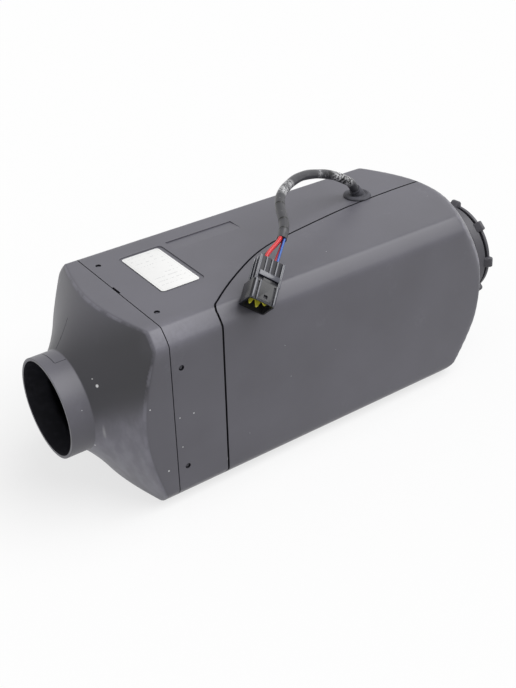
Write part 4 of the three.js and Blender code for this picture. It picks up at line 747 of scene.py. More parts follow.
class Workshop:
    """Makes, joins and finishes meshes."""

    @staticmethod
    def in_scene(name: str, data: bpy.types.ID) -> Object:
        """Puts a mesh, a camera or a lamp into the scene."""
        made = bpy.data.objects.new(name, data)
        bpy.context.scene.collection.objects.link(made)
        return made

    @classmethod
    def mesh(cls, name: str, points: Iterable[Sequence[float]], faces: Iterable[Sequence[int]]) -> Object:
        """Makes an object from points in millimetres.

        Args:
            name: The object's name.
            points: The vertices.
            faces: Corner numbers of each face.

        Returns:
            The object, at the origin.
        """
        data = bpy.data.meshes.new(name)
        data.from_pydata([tuple(c * MM for c in p) for p in points], [], [tuple(f) for f in faces])
        data.update()
        return cls.in_scene(name, data)

    @staticmethod
    def quads(rows: int, wide: int, last_to_first: bool = False, closed: bool = True) -> list[tuple[int, ...]]:
        """The faces of a net whose points are numbered row by row.

        Args:
            rows: How many rows it has.
            wide: How many points a row has.
            last_to_first: Whether the last row joins the first.
            closed: Whether the last point of a row joins its first.

        Returns:
            The corner numbers of each face.
        """
        faces = []
        for i in range(rows if last_to_first else rows - 1):
            low, high = i * wide, (i + 1) % rows * wide
            for j in range(wide if closed else wide - 1):
                k = (j + 1) % wide
                faces.append((low + j, low + k, high + k, high + j))
        return faces

    @classmethod
    def grid(cls, name: str, rows: np.ndarray, wrap: bool = False) -> Object:
        """Makes a net of quads.

        Args:
            name: The object's name.
            rows: Points as an array of rows, columns and 3 coordinates.
            wrap: Whether the last column joins the first.

        Returns:
            The object. With columns turning from +Y to +Z and rows along +X, faces point out.
        """
        return cls.mesh(name, rows.reshape(-1, 3), cls.quads(*rows.shape[:2], closed=wrap))

    @classmethod
    def lathe(
        cls, name: str, profile: Sequence[Pair], sides: int, origin: Point, axis: Point
    ) -> Object:
        """Turns a closed profile round an axis.

        Args:
            name: The object's name.
            profile: Closed loop of (along, radius) points.
            sides: How many steps the turn has.
            origin: A point on the axis, where along is 0.
            axis: The axis's direction.

        Returns:
            The closed ring or disc.
        """
        turn = Vector((0, 0, 1)).rotation_difference(Vector(axis)).to_matrix()
        points = []
        for along, radius in profile:
            for i in range(sides):
                angle = 2 * math.pi * i / sides
                spot = turn @ Vector((radius * math.cos(angle), radius * math.sin(angle), along))
                points.append(spot + Vector(origin))
        made = cls.mesh(name, points, cls.quads(len(profile), sides, last_to_first=True))
        cls.tidy(made)
        return made

    @classmethod
    def rod(cls, name: str, span: Pair, radius: float, sides: int, origin: Point, axis: Point) -> Object:
        """A plain cylinder, from one place along an axis to another."""
        low, high = span
        profile = [(low, TIP), (low, radius), (high, radius), (high, TIP)]
        return cls.lathe(name, profile, sides, origin, axis)

    @classmethod
    def prism(cls, name: str, outline: Sequence[Pair], low: float, high: float, plane: Plane) -> Object:
        """Raises a flat outline into a solid.

        Args:
            name: The object's name.
            outline: The corners in the plane.
            low: Where the solid starts along the third axis.
            high: Where it ends.
            plane: The plane of the outline.

        Returns:
            The closed solid.
        """
        points = []
        for level in (low, high):
            for u, v in outline:
                point = dict(zip(plane.value, (u, v, level)))
                points.append((point[0], point[1], point[2]))
        n = len(outline)
        faces = [tuple(range(n)), tuple(range(2 * n - 1, n - 1, -1))]
        faces += [(i, i + n, (i + 1) % n + n, (i + 1) % n) for i in range(n)]
        made = cls.mesh(name, points, faces)
        cls.tidy(made)
        return made

    @staticmethod
    def tidy(made: Object) -> None:
        """Merges doubled points and turns all faces outwards."""
        work = bmesh.new()
        work.from_mesh(made.data)
        bmesh.ops.remove_doubles(work, verts=work.verts, dist=1e-6)
        bmesh.ops.dissolve_degenerate(work, edges=work.edges, dist=1e-7)
        bmesh.ops.recalc_face_normals(work, faces=work.faces)
        work.to_mesh(made.data)
        work.free()

    @staticmethod
    def weld(made: Object) -> None:
        """Merges the doubled points of an open net without turning its faces."""
        work = bmesh.new()
        work.from_mesh(made.data)
        bmesh.ops.remove_doubles(work, verts=work.verts, dist=2e-6)
        work.to_mesh(made.data)
        work.free()

    @classmethod
    def join(cls, name: str, parts: Sequence[Object]) -> Object:
        """Puts several objects' meshes into one, side by side.

        Args:
            name: The new object's name.
            parts: Objects at the origin, which are used up.

        Returns:
            The joined object.
        """
        work = bmesh.new()
        for part in parts:
            work.from_mesh(part.data)
            bpy.data.objects.remove(part)
        data = bpy.data.meshes.new(name)
        work.to_mesh(data)
        work.free()
        return cls.in_scene(name, data)

    @classmethod
    def thicken(cls, made: Object, depth: float, finish: Finishes, rim: int = 1) -> None:
        """Gives an open skin a wall whose inner side is unlit black.

        Args:
            made: The skin.
            depth: The wall's thickness, in millimetres.
            finish: The outer side's finish.
            rim: 1 for a black rim, 0 for one in the outer side's finish.
        """
        for side in (finish, Finishes.INSIDE):
            made.data.materials.append(side.material)
        solid = made.modifiers.new("wall", "SOLIDIFY")
        solid.thickness, solid.offset, solid.use_even_offset = depth * MM, -1.0, True
        solid.material_offset, solid.material_offset_rim = 1, rim
        cls.apply(made)

    @classmethod
    def round_edges(cls, made: Object, width: float, angle: float = 50, segments: int = 3) -> None:
        """Rounds the edges that are sharper than an angle.

        Args:
            made: The object.
            width: The rounding's width, in millimetres.
            angle: The smallest edge angle that is rounded, in degrees.
            segments: How many steps the rounding has.
        """
        bevel = made.modifiers.new("edges", "BEVEL")
        bevel.width, bevel.segments, bevel.limit_method = width * MM, segments, "ANGLE"
        bevel.angle_limit, bevel.use_clamp_overlap = math.radians(angle), True
        cls.apply(made)

    @classmethod
    def carve(cls, made: Object, tools: Sequence[Object], keep: Boolean = Boolean.CUT) -> None:
        """Cuts or joins closed solids.

        Args:
            made: The object that is changed.
            tools: Closed objects, which are used up.
            keep: What is kept.
        """
        tool = tools[0] if len(tools) == 1 else cls.join("cutters", tools)
        boolean = made.modifiers.new("cut", "BOOLEAN")
        boolean.object, boolean.operation, boolean.solver = tool, keep.value, "EXACT"
        cls.apply(made)
        bpy.data.objects.remove(tool)

    @staticmethod
    def painted_light_slot(tool: Object, slot: int = 1) -> Object:
        """Marks an object, so that its faces or the faces it cuts get the finish of a later slot: painted shade
        in holes, grooves and hollows, and a painted highlight on the connector's ribs.
        """
        tool.data.polygons.foreach_set("material_index", [slot] * len(tool.data.polygons))
        return tool

    @staticmethod
    def apply(made: Object) -> None:
        """Turns the object's modifiers into plain mesh."""
        bpy.context.view_layer.update()
        graph = bpy.context.evaluated_depsgraph_get()
        data = bpy.data.meshes.new_from_object(made.evaluated_get(graph))
        made.modifiers.clear()
        old = made.data
        made.data = data
        bpy.data.meshes.remove(old)

    @staticmethod
    def smooth(made: Object, angle: float = 32) -> None:
        """Shades the faces smoothly, apart from edges sharper than the angle, in degrees."""
        made.data.polygons.foreach_set("use_smooth", [True] * len(made.data.polygons))
        made.data.set_sharp_from_angle(angle=math.radians(angle))

    @classmethod
    def tube(
        cls, name: str, path: Sequence[Vector], radius: Callable[[float, float], float], sides: int
    ) -> Object:
        """Makes a tube along a path, turning as little as it can.

        Args:
            name: The object's name.
            path: The middle line, in millimetres.
            radius: The radius at a share of the path and an angle.
            sides: How many sides the tube has.

        Returns:
            The closed tube.
        """
        spots = [Vector(p) for p in path]
        around = zip([spots[0], *spots[:-1]], [*spots[1:], spots[-1]])
        ways = [(after - before).normalized() for before, after in around]
        side = ways[0].orthogonal().normalized()
        points = []
        for i, (spot, way) in enumerate(zip(spots, ways)):
            if i:
                side = ways[i - 1].rotation_difference(way) @ side
            side = (side - way * side.dot(way)).normalized()
            other = way.cross(side)
            for k in range(sides):
                angle = 2 * math.pi * k / sides
                reach = radius(i / (len(spots) - 1), angle)
                points.append(spot + (side * math.cos(angle) + other * math.sin(angle)) * reach)
        last = (len(spots) - 1) * sides
        ends = [tuple(range(sides - 1, -1, -1)), tuple(range(last, last + sides))]
        return cls.mesh(name, points, cls.quads(len(spots), sides) + ends)

    @classmethod
    def dress(
        cls, made: Object, finish: Finishes, slot: str, nodes: Sequence[str] = (), angle: float = 32
    ) -> Object:
        """Gives a piece its finish and its body, and hides the solids it stands for.

        A piece that has two or more finishes already, such as the cut shells, keeps them.

        Args:
            made: The piece.
            finish: Its finish.
            slot: A material slot's name, which is not used.
            nodes: The solids that it replaces.
            angle: The sharpest edge that is shaded smoothly, in degrees.

        Returns:
            The piece.
        """
        if len(made.data.materials) < 2:
            made.data.materials.clear()
            made.data.materials.append(finish.material)
            made.data.polygons.foreach_set("material_index", [0] * len(made.data.polygons))
        cls.smooth(made, angle)
        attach(made, MOVES_WITH)
        if nodes:
            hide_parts(*nodes)
        LOG.info("%s: %d faces", made.name, len(made.data.polygons))
        return made


# ---------------------------------------------------------------- geometry node recipes


class Recipe(NodeTree):
    """A geometry node tree with named inputs, whose result becomes a plain mesh."""

    SOCKETS = {float: "NodeSocketFloat", int: "NodeSocketInt", tuple: "NodeSocketVector"}

    def __init__(self, name: str, finish: Finishes, **sizes: float | int | tuple) -> None:
        """Makes the tree with its inputs.

        Args:
            name: The tree's name.
            finish: The finish that its result gets.
            **sizes: The tree's named inputs, with their values.
        """
        super().__init__(bpy.data.node_groups.new(name, "GeometryNodeTree"))
        self.finish = finish
        self.sizes = sizes
        faces = self.tree.interface
        faces.new_socket(name="Geometry", in_out="INPUT", socket_type="NodeSocketGeometry")
        faces.new_socket(name="Geometry", in_out="OUTPUT", socket_type="NodeSocketGeometry")
        self.identifiers = {}
        for key, value in sizes.items():
            socket = faces.new_socket(name=key, in_out="INPUT", socket_type=self.SOCKETS[type(value)])
            self.identifiers[key] = socket.identifier
        self.input = self.add("NodeGroupInput")

    def size(self, key: str) -> Field:
        """A named input as a field."""
        return Field(self, self.input.outputs[key])

    def vector(self, x: object = 0.0, y: object = 0.0, z: object = 0.0) -> Socket:
        """A vector made of three values."""
        return self.add("ShaderNodeCombineXYZ", None, {0: x, 1: y, 2: z}).outputs[0]

    def finish_with(self, geometry: Socket) -> None:
        """Ends the tree with real faces and their finish.

        Args:
            geometry: What the tree has made.
        """
        real = self.add("GeometryNodeRealizeInstances", None, {0: geometry})
        dressed = self.add("GeometryNodeSetMaterial", None, {"Geometry": real.outputs[0]})
        dressed.inputs["Material"].default_value = self.finish.material
        self.add("NodeGroupOutput", None, {0: dressed.outputs[0]})

    def run(self, made: Object) -> Object:
        """Runs the tree on an object and keeps the result as its mesh.

        Args:
            made: The object that the tree starts from.

        Returns:
            The same object with the new mesh.
        """
        modifier = made.modifiers.new(self.tree.name, "NODES")
        modifier.node_group = self.tree
        for key, value in self.sizes.items():
            modifier[self.identifiers[key]] = value
        Workshop.apply(made)
        return made


def ring_of_copies(name: str, made: Object, finish: Finishes, count: int, phase: float) -> Object:
    """Repeats an object round the heater's axis.

    Args:
        name: The tree's name.
        made: One copy, where the angle is 0.
        finish: The copies' finish.
        count: How many copies there are.
        phase: The first copy's angle, in degrees.

    Returns:
        The object with all copies in its mesh.
    """
    recipe = Recipe(name, finish, Count=count, Phase=math.radians(phase), Height=AXIS_Z * MM)
    lowered = recipe.add(
        "GeometryNodeTransform",
        None,
        {"Geometry": recipe.input.outputs[0], "Translation": recipe.vector(z=0.0 - recipe.size("Height"))},
    )
    centre = recipe.vector(z=recipe.size("Height"))
    points = recipe.add("GeometryNodePoints", None, {"Count": recipe.size("Count"), "Position": centre})
    index = Field(recipe, recipe.add("GeometryNodeInputIndex").outputs[0])
    angle = index * (2 * math.pi) / recipe.size("Count") + recipe.size("Phase")
    placed = recipe.add(
        "GeometryNodeInstanceOnPoints",
        None,
        {"Points": points.outputs[0], "Instance": lowered.outputs[0], "Rotation": recipe.vector(angle)},
    )
    recipe.finish_with(placed.outputs[0])
    return recipe.run(made)


def copies_at(name: str, made: Object, finish: Finishes, places: Sequence[Point]) -> Object:
    """Repeats an object at several places.

    Args:
        name: The new object's name.
        made: One copy at the origin, which is used up.
        finish: The copies' finish.
        places: Where the copies go, in millimetres.

    Returns:
        The object with all copies in its mesh.
    """
    spots = Workshop.mesh(name, places, [])
    recipe = Recipe(name, finish, Scale=1.0)
    scale = recipe.size("Scale")
    source = recipe.add("GeometryNodeObjectInfo", {"transform_space": "ORIGINAL"})
    source.inputs["Object"].default_value = made
    placed = recipe.add(
        "GeometryNodeInstanceOnPoints",
        None,
        {
            "Points": recipe.input.outputs[0],
            "Instance": source.outputs["Geometry"],
            "Scale": recipe.vector(scale, scale, scale),
        },
    )
    recipe.finish_with(placed.outputs[0])
    recipe.run(spots)
    bpy.data.objects.remove(made)
    return spots


# ---------------------------------------------------------------- casing


@dataclass(frozen=True)
class CasingForm:
    """The casing's surface: a box section with soft bands, drawn in by a hood and a dome."""

    half_y: float = 68.0
    half_z: float = 72.0
    band_depth: float = 9.7  # the slanting bands at the section's corners: across and down
    band_drop: float = 11.0
    band_bulge: float = 0.7
    softness: float = 1.0
    seam_x: float = -135.0
    hood_length: float = 45.5
    collar_length: float = 17.6
    collar_radius: float = 37.5
    collar_soft: float = 0.9
    flare_slope: float = 1.0  # how the hood widens: a slope and its growth
    flare_bend: float = 0.0167
    crease: float = 5.0  # how softly the dome turns, and how softly hood and dome meet the section
    sharp_crease: float = 3.8
    end_x: float = 168.0
    dome_end_radius: float = 41.0
    dome_knee_radius: float = 70.0
    dome_knee_depth: float = 11.0
    dome_slope: float = 1.02
    cover_start: float = 42.2  # from the hood's seam
    seam_gap: float = 1.5
    hood_gap: float = 0.6
    wall: float = 2.2
    seam_run: tuple[Pair, ...] = (  # along the casing from the cover's front edge, and in from its side
        (0.5, 9), (8.5, 17), (31, 33.5), (61, 51.5), (84, 60.5), (105, 64.5), (147, 71), (180, 74.5), (227, 76),
    )
    seam_end: float = 75.0
    mouth: tuple[float, ...] = (40.4, 39.2, 38.2, 37.9)  # the last rows, which turn in to the intake ring

    @property
    def collar_x(self) -> float:
        """Where the collar meets the cone."""
        return self.seam_x - self.hood_length

    @property
    def rim_x(self) -> float:
        """The collar's free edge."""
        return self.collar_x - self.collar_length

    @property
    def front_x(self) -> float:
        """The cover's straight front edge."""
        return self.seam_x + self.cover_start

    @property
    def dome_rise(self) -> float:
        """How much wider the dome's steep part gets with each millimetre of its depth."""
        return (self.dome_knee_radius - self.dome_end_radius) / self.dome_knee_depth

    @staticmethod
    def soft_min(a: np.ndarray, b: np.ndarray | float, blend: float) -> np.ndarray:
        """The smaller of two values, rounded where they are close."""
        near = np.maximum(blend - np.abs(a - b), 0) / blend
        return np.minimum(a, b) - near * near * blend / 4

    def outline(self, inset: float = 0.0) -> tuple[np.ndarray, np.ndarray]:
        """The section as a fine closed line that starts at the top and turns towards -Y.

        Args:
            inset: How far inside the outer face it runs.

        Returns:
            Distances along the line, and its points as (y, z) from the axis.
        """
        half_y, half_z = self.half_y - inset, self.half_z - inset
        shrink = 2 * (1 - math.sqrt(0.5)) * inset
        depth, drop = self.band_depth - shrink, self.band_drop - shrink
        t = np.linspace(0, 1, 40)[:, None]
        start, end = np.array([half_y, half_z - drop]), np.array([half_y - depth, half_z])
        middle = (start + end) / 2 + self.band_bulge
        corner = (1 - t) ** 2 * start + 2 * t * (1 - t) * middle + t**2 * end
        quarters = [corner[::-1] * (-1, 1), corner * (-1, -1), corner[::-1] * (1, -1), corner]
        loop = np.vstack([np.array([[0.0, half_z]]), *quarters, np.array([[0.0, half_z]])])
        way = np.concatenate([[0], np.cumsum(np.hypot(*np.diff(loop, axis=0).T))])
        step = 0.25
        fine = np.arange(0, way[-1], step)
        y, z = np.interp(fine, way, loop[:, 0]), np.interp(fine, way, loop[:, 1])
        reach = int(4 * self.softness / step)
        kernel = np.exp(-0.5 * (np.arange(-reach, reach + 1) * step / self.softness) ** 2)
        kernel /= kernel.sum()
        y, z = (np.convolve(np.concatenate([v[-reach:], v, v[:reach]]), kernel, "valid") for v in (y, z))
        points = np.stack([np.append(y, y[0]), np.append(z, z[0])], 1)
        way = np.concatenate([[0], np.cumsum(np.hypot(*np.diff(points, axis=0).T))])
        return way, points

    @staticmethod
    def section(along: np.ndarray, way: np.ndarray, points: np.ndarray) -> np.ndarray:
        """The section's points at some distances along its line."""
        return np.stack([np.interp(along, way, points[:, k]) for k in (0, 1)], 1)

    @staticmethod
    def band_middles(way: np.ndarray, points: np.ndarray) -> list[float]:
        """Where the middles of the section's four slanting bands are along its line."""
        signs = ((-1, 1), (-1, -1), (1, -1), (1, 1))
        return [float(way[np.argmax(points @ np.array(sign))]) for sign in signs]

    def hood_radius(self, x: float, inset: float = 0.0) -> float:
        """How far the hood lets the section reach at a place."""
        run = max(x - self.collar_x, 0.0)
        slope = self.flare_slope + 2 * self.flare_bend * run
        radius = self.collar_radius + self.flare_slope * run + self.flare_bend * run * run
        lean = math.hypot(1, slope) if run > 0 else 1.0
        soft = self.collar_soft
        near = max(soft - abs(x - self.collar_x), 0) / soft
        return max(radius - inset * lean, self.collar_radius - inset) + near * near * soft / 6

    def dome_radius(self, x: float) -> float:
        """How far the dome lets the section reach at a place."""
        run = max(self.end_x - x, 0.0)
        steep = self.dome_end_radius + self.dome_rise * run
        shallow = self.dome_knee_radius + self.dome_slope * (run - self.dome_knee_depth)
        return float(self.soft_min(np.array(steep), shallow, self.crease))

    def ring(self, x: float, limit: float, points: np.ndarray) -> np.ndarray:
        """One row of the surface.

        Args:
            x: The row's place.
            limit: How far the section may reach.
            points: The section's points as (y, z) from the axis.

        Returns:
            The row's points in the frame.
        """
        reach = np.hypot(points[:, 0], points[:, 1])
        radius = self.soft_min(reach, limit, self.sharp_crease)
        y, z = points[:, 0] * radius / reach, points[:, 1] * radius / reach
        return np.stack([np.full_like(y, x), y, AXIS_Z + z], 1)

    def seam(self, offset: float) -> tuple[np.ndarray, np.ndarray]:
        """The seam in plan view, moved square to itself.

        Args:
            offset: How far it is moved towards the cover, in millimetres.

        Returns:
            Its x and y values, x rising.
        """
        front, out = self.front_x, -self.half_y - 20
        knots = [(front, out), (front, -self.half_y - 5)]
        knots += [(front + along, rise - self.half_y) for along, rise in self.seam_run]
        knots.append((self.end_x + 10, self.seam_end - self.half_y))
        knots = np.array(knots)
        line = []
        for k in range(len(knots) - 1):
            p = [knots[max(k - 1, 0)], knots[k], knots[k + 1], knots[min(k + 2, len(knots) - 1)]]
            for t in np.linspace(0, 1, 60, endpoint=False):
                a, b = (p[2] - p[0]) * 0.5, (p[3] - p[1]) * 0.5
                cubic, square = 2 * p[1] - 2 * p[2] + a + b, -3 * p[1] + 3 * p[2] - 2 * a - b
                line.append(cubic * t**3 + square * t**2 + a * t + p[1])
        line = np.array(line)
        way = np.gradient(line, axis=0)
        way /= np.hypot(way[:, 0], way[:, 1])[:, None]
        moved = line + np.stack([way[:, 1], -way[:, 0]], 1) * offset
        keep = moved[:, 0] > front + offset + 0.01
        return moved[keep, 0], moved[keep, 1]

    def body_rows(self, start: float) -> list[Pair]:
        """Rows from a place to the dome's mouth as (x, limit), close together where the surface turns.

        Args:
            start: The first row's place.

        Returns:
            The rows.
        """
        steps = [0, 0.15, 0.5, 1.0, 1.8, 2.8, 4.2, 6, 8.5, 12, 16, 21, 27, 34]
        places = [start + s for s in steps]
        dome_start = self.end_x - 36
        places += list(np.linspace(places[-1], dome_start, 26)[1:])
        places += list(np.linspace(dome_start, self.end_x, 44)[1:])
        rows = [(x, self.dome_radius(x)) for x in places]
        return rows + [(self.end_x + 1e-4 * k, radius) for k, radius in enumerate(self.mouth, 1)]


@dataclass
class Shells:
    """The lower shell and the service cover."""

    form: CasingForm = field(default_factory=CasingForm)
    columns: int = 66
    edge: float = 0.3
    finish: Finishes = Finishes.CASING
    peg_inset: float = 8.0
    peg_y: float = 40.6
    peg_z: float = 41.7
    peg_radius: float = 2.1
    label_low: Pair = (-111.2, -21.0)
    label_high: Pair = (-75.0, 41.0)
    recess_depth: float = 0.8
    slot_span: Pair = (-3.5, 6.5)  # from side to side
    step_across: Pair = (28.0, 42.0)  # a shallow slope beyond the label, and its run from the hood's seam
    step_along: Pair = (65.0, 124.0)
    foot_low: Pair = (-14.6, 25.4)
    foot_high: Pair = (98.6, 118.6)
    harness_radius: float = 8.3

    def __post_init__(self) -> None:
        """Keeps the section's fine outline."""
        self._outline = self.form.outline()

    def _split(self, x: float, limit: float, seam_y: float) -> Pair:
        """Where the seam crosses a row, along the section, on top and below.

        Args:
            x: The row's place.
            limit: How far the row's section may reach.
            seam_y: The seam's y there.

        Returns:
            The two distances along the section's line.
        """
        way, points = self._outline
        row = self.form.ring(x, limit, points)
        total = way[-1]
        near_top = (way > total - 75) | (way < 75)
        along = np.where(way > total / 2, way - total, way)[near_top]
        order = np.argsort(row[near_top, 1])
        top = float(np.interp(seam_y, row[near_top, 1][order], along[order]))
        return top, total / 2 - top

    def _spread(self, start: float, end: float) -> np.ndarray:
        """Distances along the section, close together in the bands and at both ends.

        Args:
            start: The first distance.
            end: The last distance.

        Returns:
            The distances, rising.
        """
        way, points = self._outline
        fine = np.linspace(start, end, 3000)
        spot = np.mod(fine, way[-1])
        density = np.ones_like(fine)
        for middle in self.form.band_middles(way, points):
            density += 5.0 / (1 + ((spot - middle) / 8.0) ** 4)
        for edge in (start, end):
            density += 9.0 * np.exp(-np.abs(fine - edge) / 1.2)
        summed = np.concatenate([[0], np.cumsum((density[1:] + density[:-1]) / 2)])
        return np.interp(np.linspace(0, summed[-1], self.columns + 1), summed, fine)

    def _part(self, name: str, rows: list[Pair], cover: bool) -> Object:
        """The net of the cover or of the shell beside it.

        Args:
            name: The object's name.
            rows: Places and limits.
            cover: True for the cover, False for the shell.

        Returns:
            The open net.
        """
        way, points = self._outline
        xs, ys = self.form.seam((0.5 if cover else -0.5) * self.form.seam_gap)
        net = []
        for x, limit in rows:
            seam_y = float(np.interp(x, xs, ys))
            top, under = self._split(x, limit, seam_y)
            start, end = (top, under) if cover else (under, top + way[-1])
            along = np.mod(self._spread(start, end), way[-1])
            net.append(self.form.ring(x, limit, self.form.section(along, way, points)))
        return Workshop.grid(name, np.array(net))

    def cover(self) -> Object:
        """Builds the service cover."""
        made = self._part("cover_skin", self.form.body_rows(self.form.front_x + self.form.seam_gap / 2), True)
        self._finish_wall(made)
        return Workshop.dress(made, self.finish, "casing_plastic", ["service_cover"])

    def _finish_wall(self, made: Object) -> None:
        """Gives a net its wall and rounded edges."""
        Workshop.weld(made)
        Workshop.thicken(made, self.form.wall, self.finish)
        Workshop.round_edges(made, self.edge, 60)

    def shell(self) -> Object:
        """Builds the lower shell with its holes and recesses."""
        start = self.form.front_x - self.form.seam_gap / 2
        rows = self.form.body_rows(start)
        back = self._part("shell_skin", rows, False)
        front = self._front_band(start, rows[0][1])
        made = Workshop.join("shell_skin", [back, front])
        self._finish_wall(made)
        Workshop.carve(made, self._cutters())
        return Workshop.dress(made, self.finish, "casing_plastic", ["lower_shell"])

    def _front_band(self, end: float, limit: float) -> Object:
        """The ring between the hood and the cover's front edge.

        Args:
            end: Where the ring ends.
            limit: How far the section may reach.

        Returns:
            The open net.
        """
        way, points = self._outline
        xs, ys = self.form.seam(-0.5 * self.form.seam_gap)
        top, under = self._split(end, limit, float(np.interp(end, xs, ys)))
        total = way[-1]
        along = np.concatenate([self._spread(under, top + total)[:-1], self._spread(top, under)[:-1] + total])
        section = self.form.section(np.mod(along, total), way, points)
        first = self.form.seam_x + self.form.hood_gap / 2
        steps = [0, 0.15, 0.5, 1.1, 2.2, 4, 7]
        places = [first + s for s in steps] + list(np.linspace(first + 11, end - 7, 6))
        places += [end - s for s in reversed(steps)]
        return Workshop.grid("front_band", np.array([self.form.ring(x, limit, section) for x in places]), True)

    def _cutters(self) -> list[Object]:
        """The tools that cut the shell's holes and recesses."""
        holes = [Workshop.rod("peg_hole", (-4, 0.5), self.peg_radius, 32, *at) for at in self.peg_places()]
        # the peg holes and the seam slot get the unlit finish: painted shade
        tools = [Workshop.painted_light_slot(hole) for hole in holes]
        seam, top = self.form.seam_x, 2 * AXIS_Z
        low, high = self.slot_span
        slot_outline = self.box((seam - 1, low), (seam + 1.5, high), 0.4)
        slot = Workshop.prism("slot", slot_outline, top - 4, top + 1, Plane.XY)
        tools.append(Workshop.painted_light_slot(slot))
        tools.append(self._recess(self.label_low, self.label_high, 4.0, top))
        (low, high), (start, end) = self.step_across, self.step_along
        wedge = [(low, top - 0.01), (high, top - self.recess_depth), (high, top + 1), (low, top + 1)]
        tools.append(Workshop.prism("step", wedge, seam + start, seam + end, Plane.YZ))
        opening = self.box(self.foot_low, self.foot_high, 10)
        tools.append(Workshop.prism("foot", opening, self.form.half_y - 4, self.form.half_y + 1, Plane.XZ))
        for span in ((-1, 4), (top - 4, top + 1)):
            tools.append(
                Workshop.rod("harness_hole", span, self.harness_radius, 48, (*HARNESS_EXIT, 0), (0, 0, 1))
            )
        return tools

    def _recess(self, low: Pair, high: Pair, corner: float, top: float) -> Object:
        """A shallow recess whose walls lean out.

        Args:
            low: Its corner with the lowest x and y.
            high: Its corner with the highest x and y.
            corner: Its corner radius.
            top: The height of the face that it is sunk in.

        Returns:
            The closed tool.
        """
        levels = ((top - self.recess_depth, 0.0), (top - 0.25, 0.1), (top + 1, 1.3))
        loops = [self.box((low[0] - g, low[1] - g), (high[0] + g, high[1] + g), corner + g) for _, g in levels]
        n = len(loops[0])
        points = [(x, y, level) for (level, _), loop in zip(levels, loops) for x, y in loop]
        ends = [tuple(range(n - 1, -1, -1)), tuple(range(2 * n, 3 * n))]
        made = Workshop.mesh("recess", points, ends + Workshop.quads(len(levels), n))
        Workshop.tidy(made)
        return made

    @staticmethod
    def box(low: Pair, high: Pair, corner: float) -> list[Pair]:
        """A rectangle with round corners, as corner points turning left."""
        points = []
        for start, cx, cy in (
            (0, high[0] - corner, high[1] - corner), (90, low[0] + corner, high[1] - corner),
            (180, low[0] + corner, low[1] + corner), (270, high[0] - corner, low[1] + corner),
        ):
            for k in range(9):
                turn = math.radians(start + 90 * k / 8)
                points.append((cx + corner * math.cos(turn), cy + corner * math.sin(turn)))
        return points

    def peg_places(self) -> list[tuple[Point, Point]]:
        """The snap pegs' places on the casing's faces, with the way out."""
        x = self.form.seam_x + self.peg_inset
        places = []
        for side in (-1, 1):
            for spread in (-1, 1):
                places.append(((x, spread * self.peg_y, AXIS_Z * (1 + side)), (0, 0, side)))
                places.append(((x, side * self.form.half_y, AXIS_Z + spread * self.peg_z), (0, side, 0)))
        return places


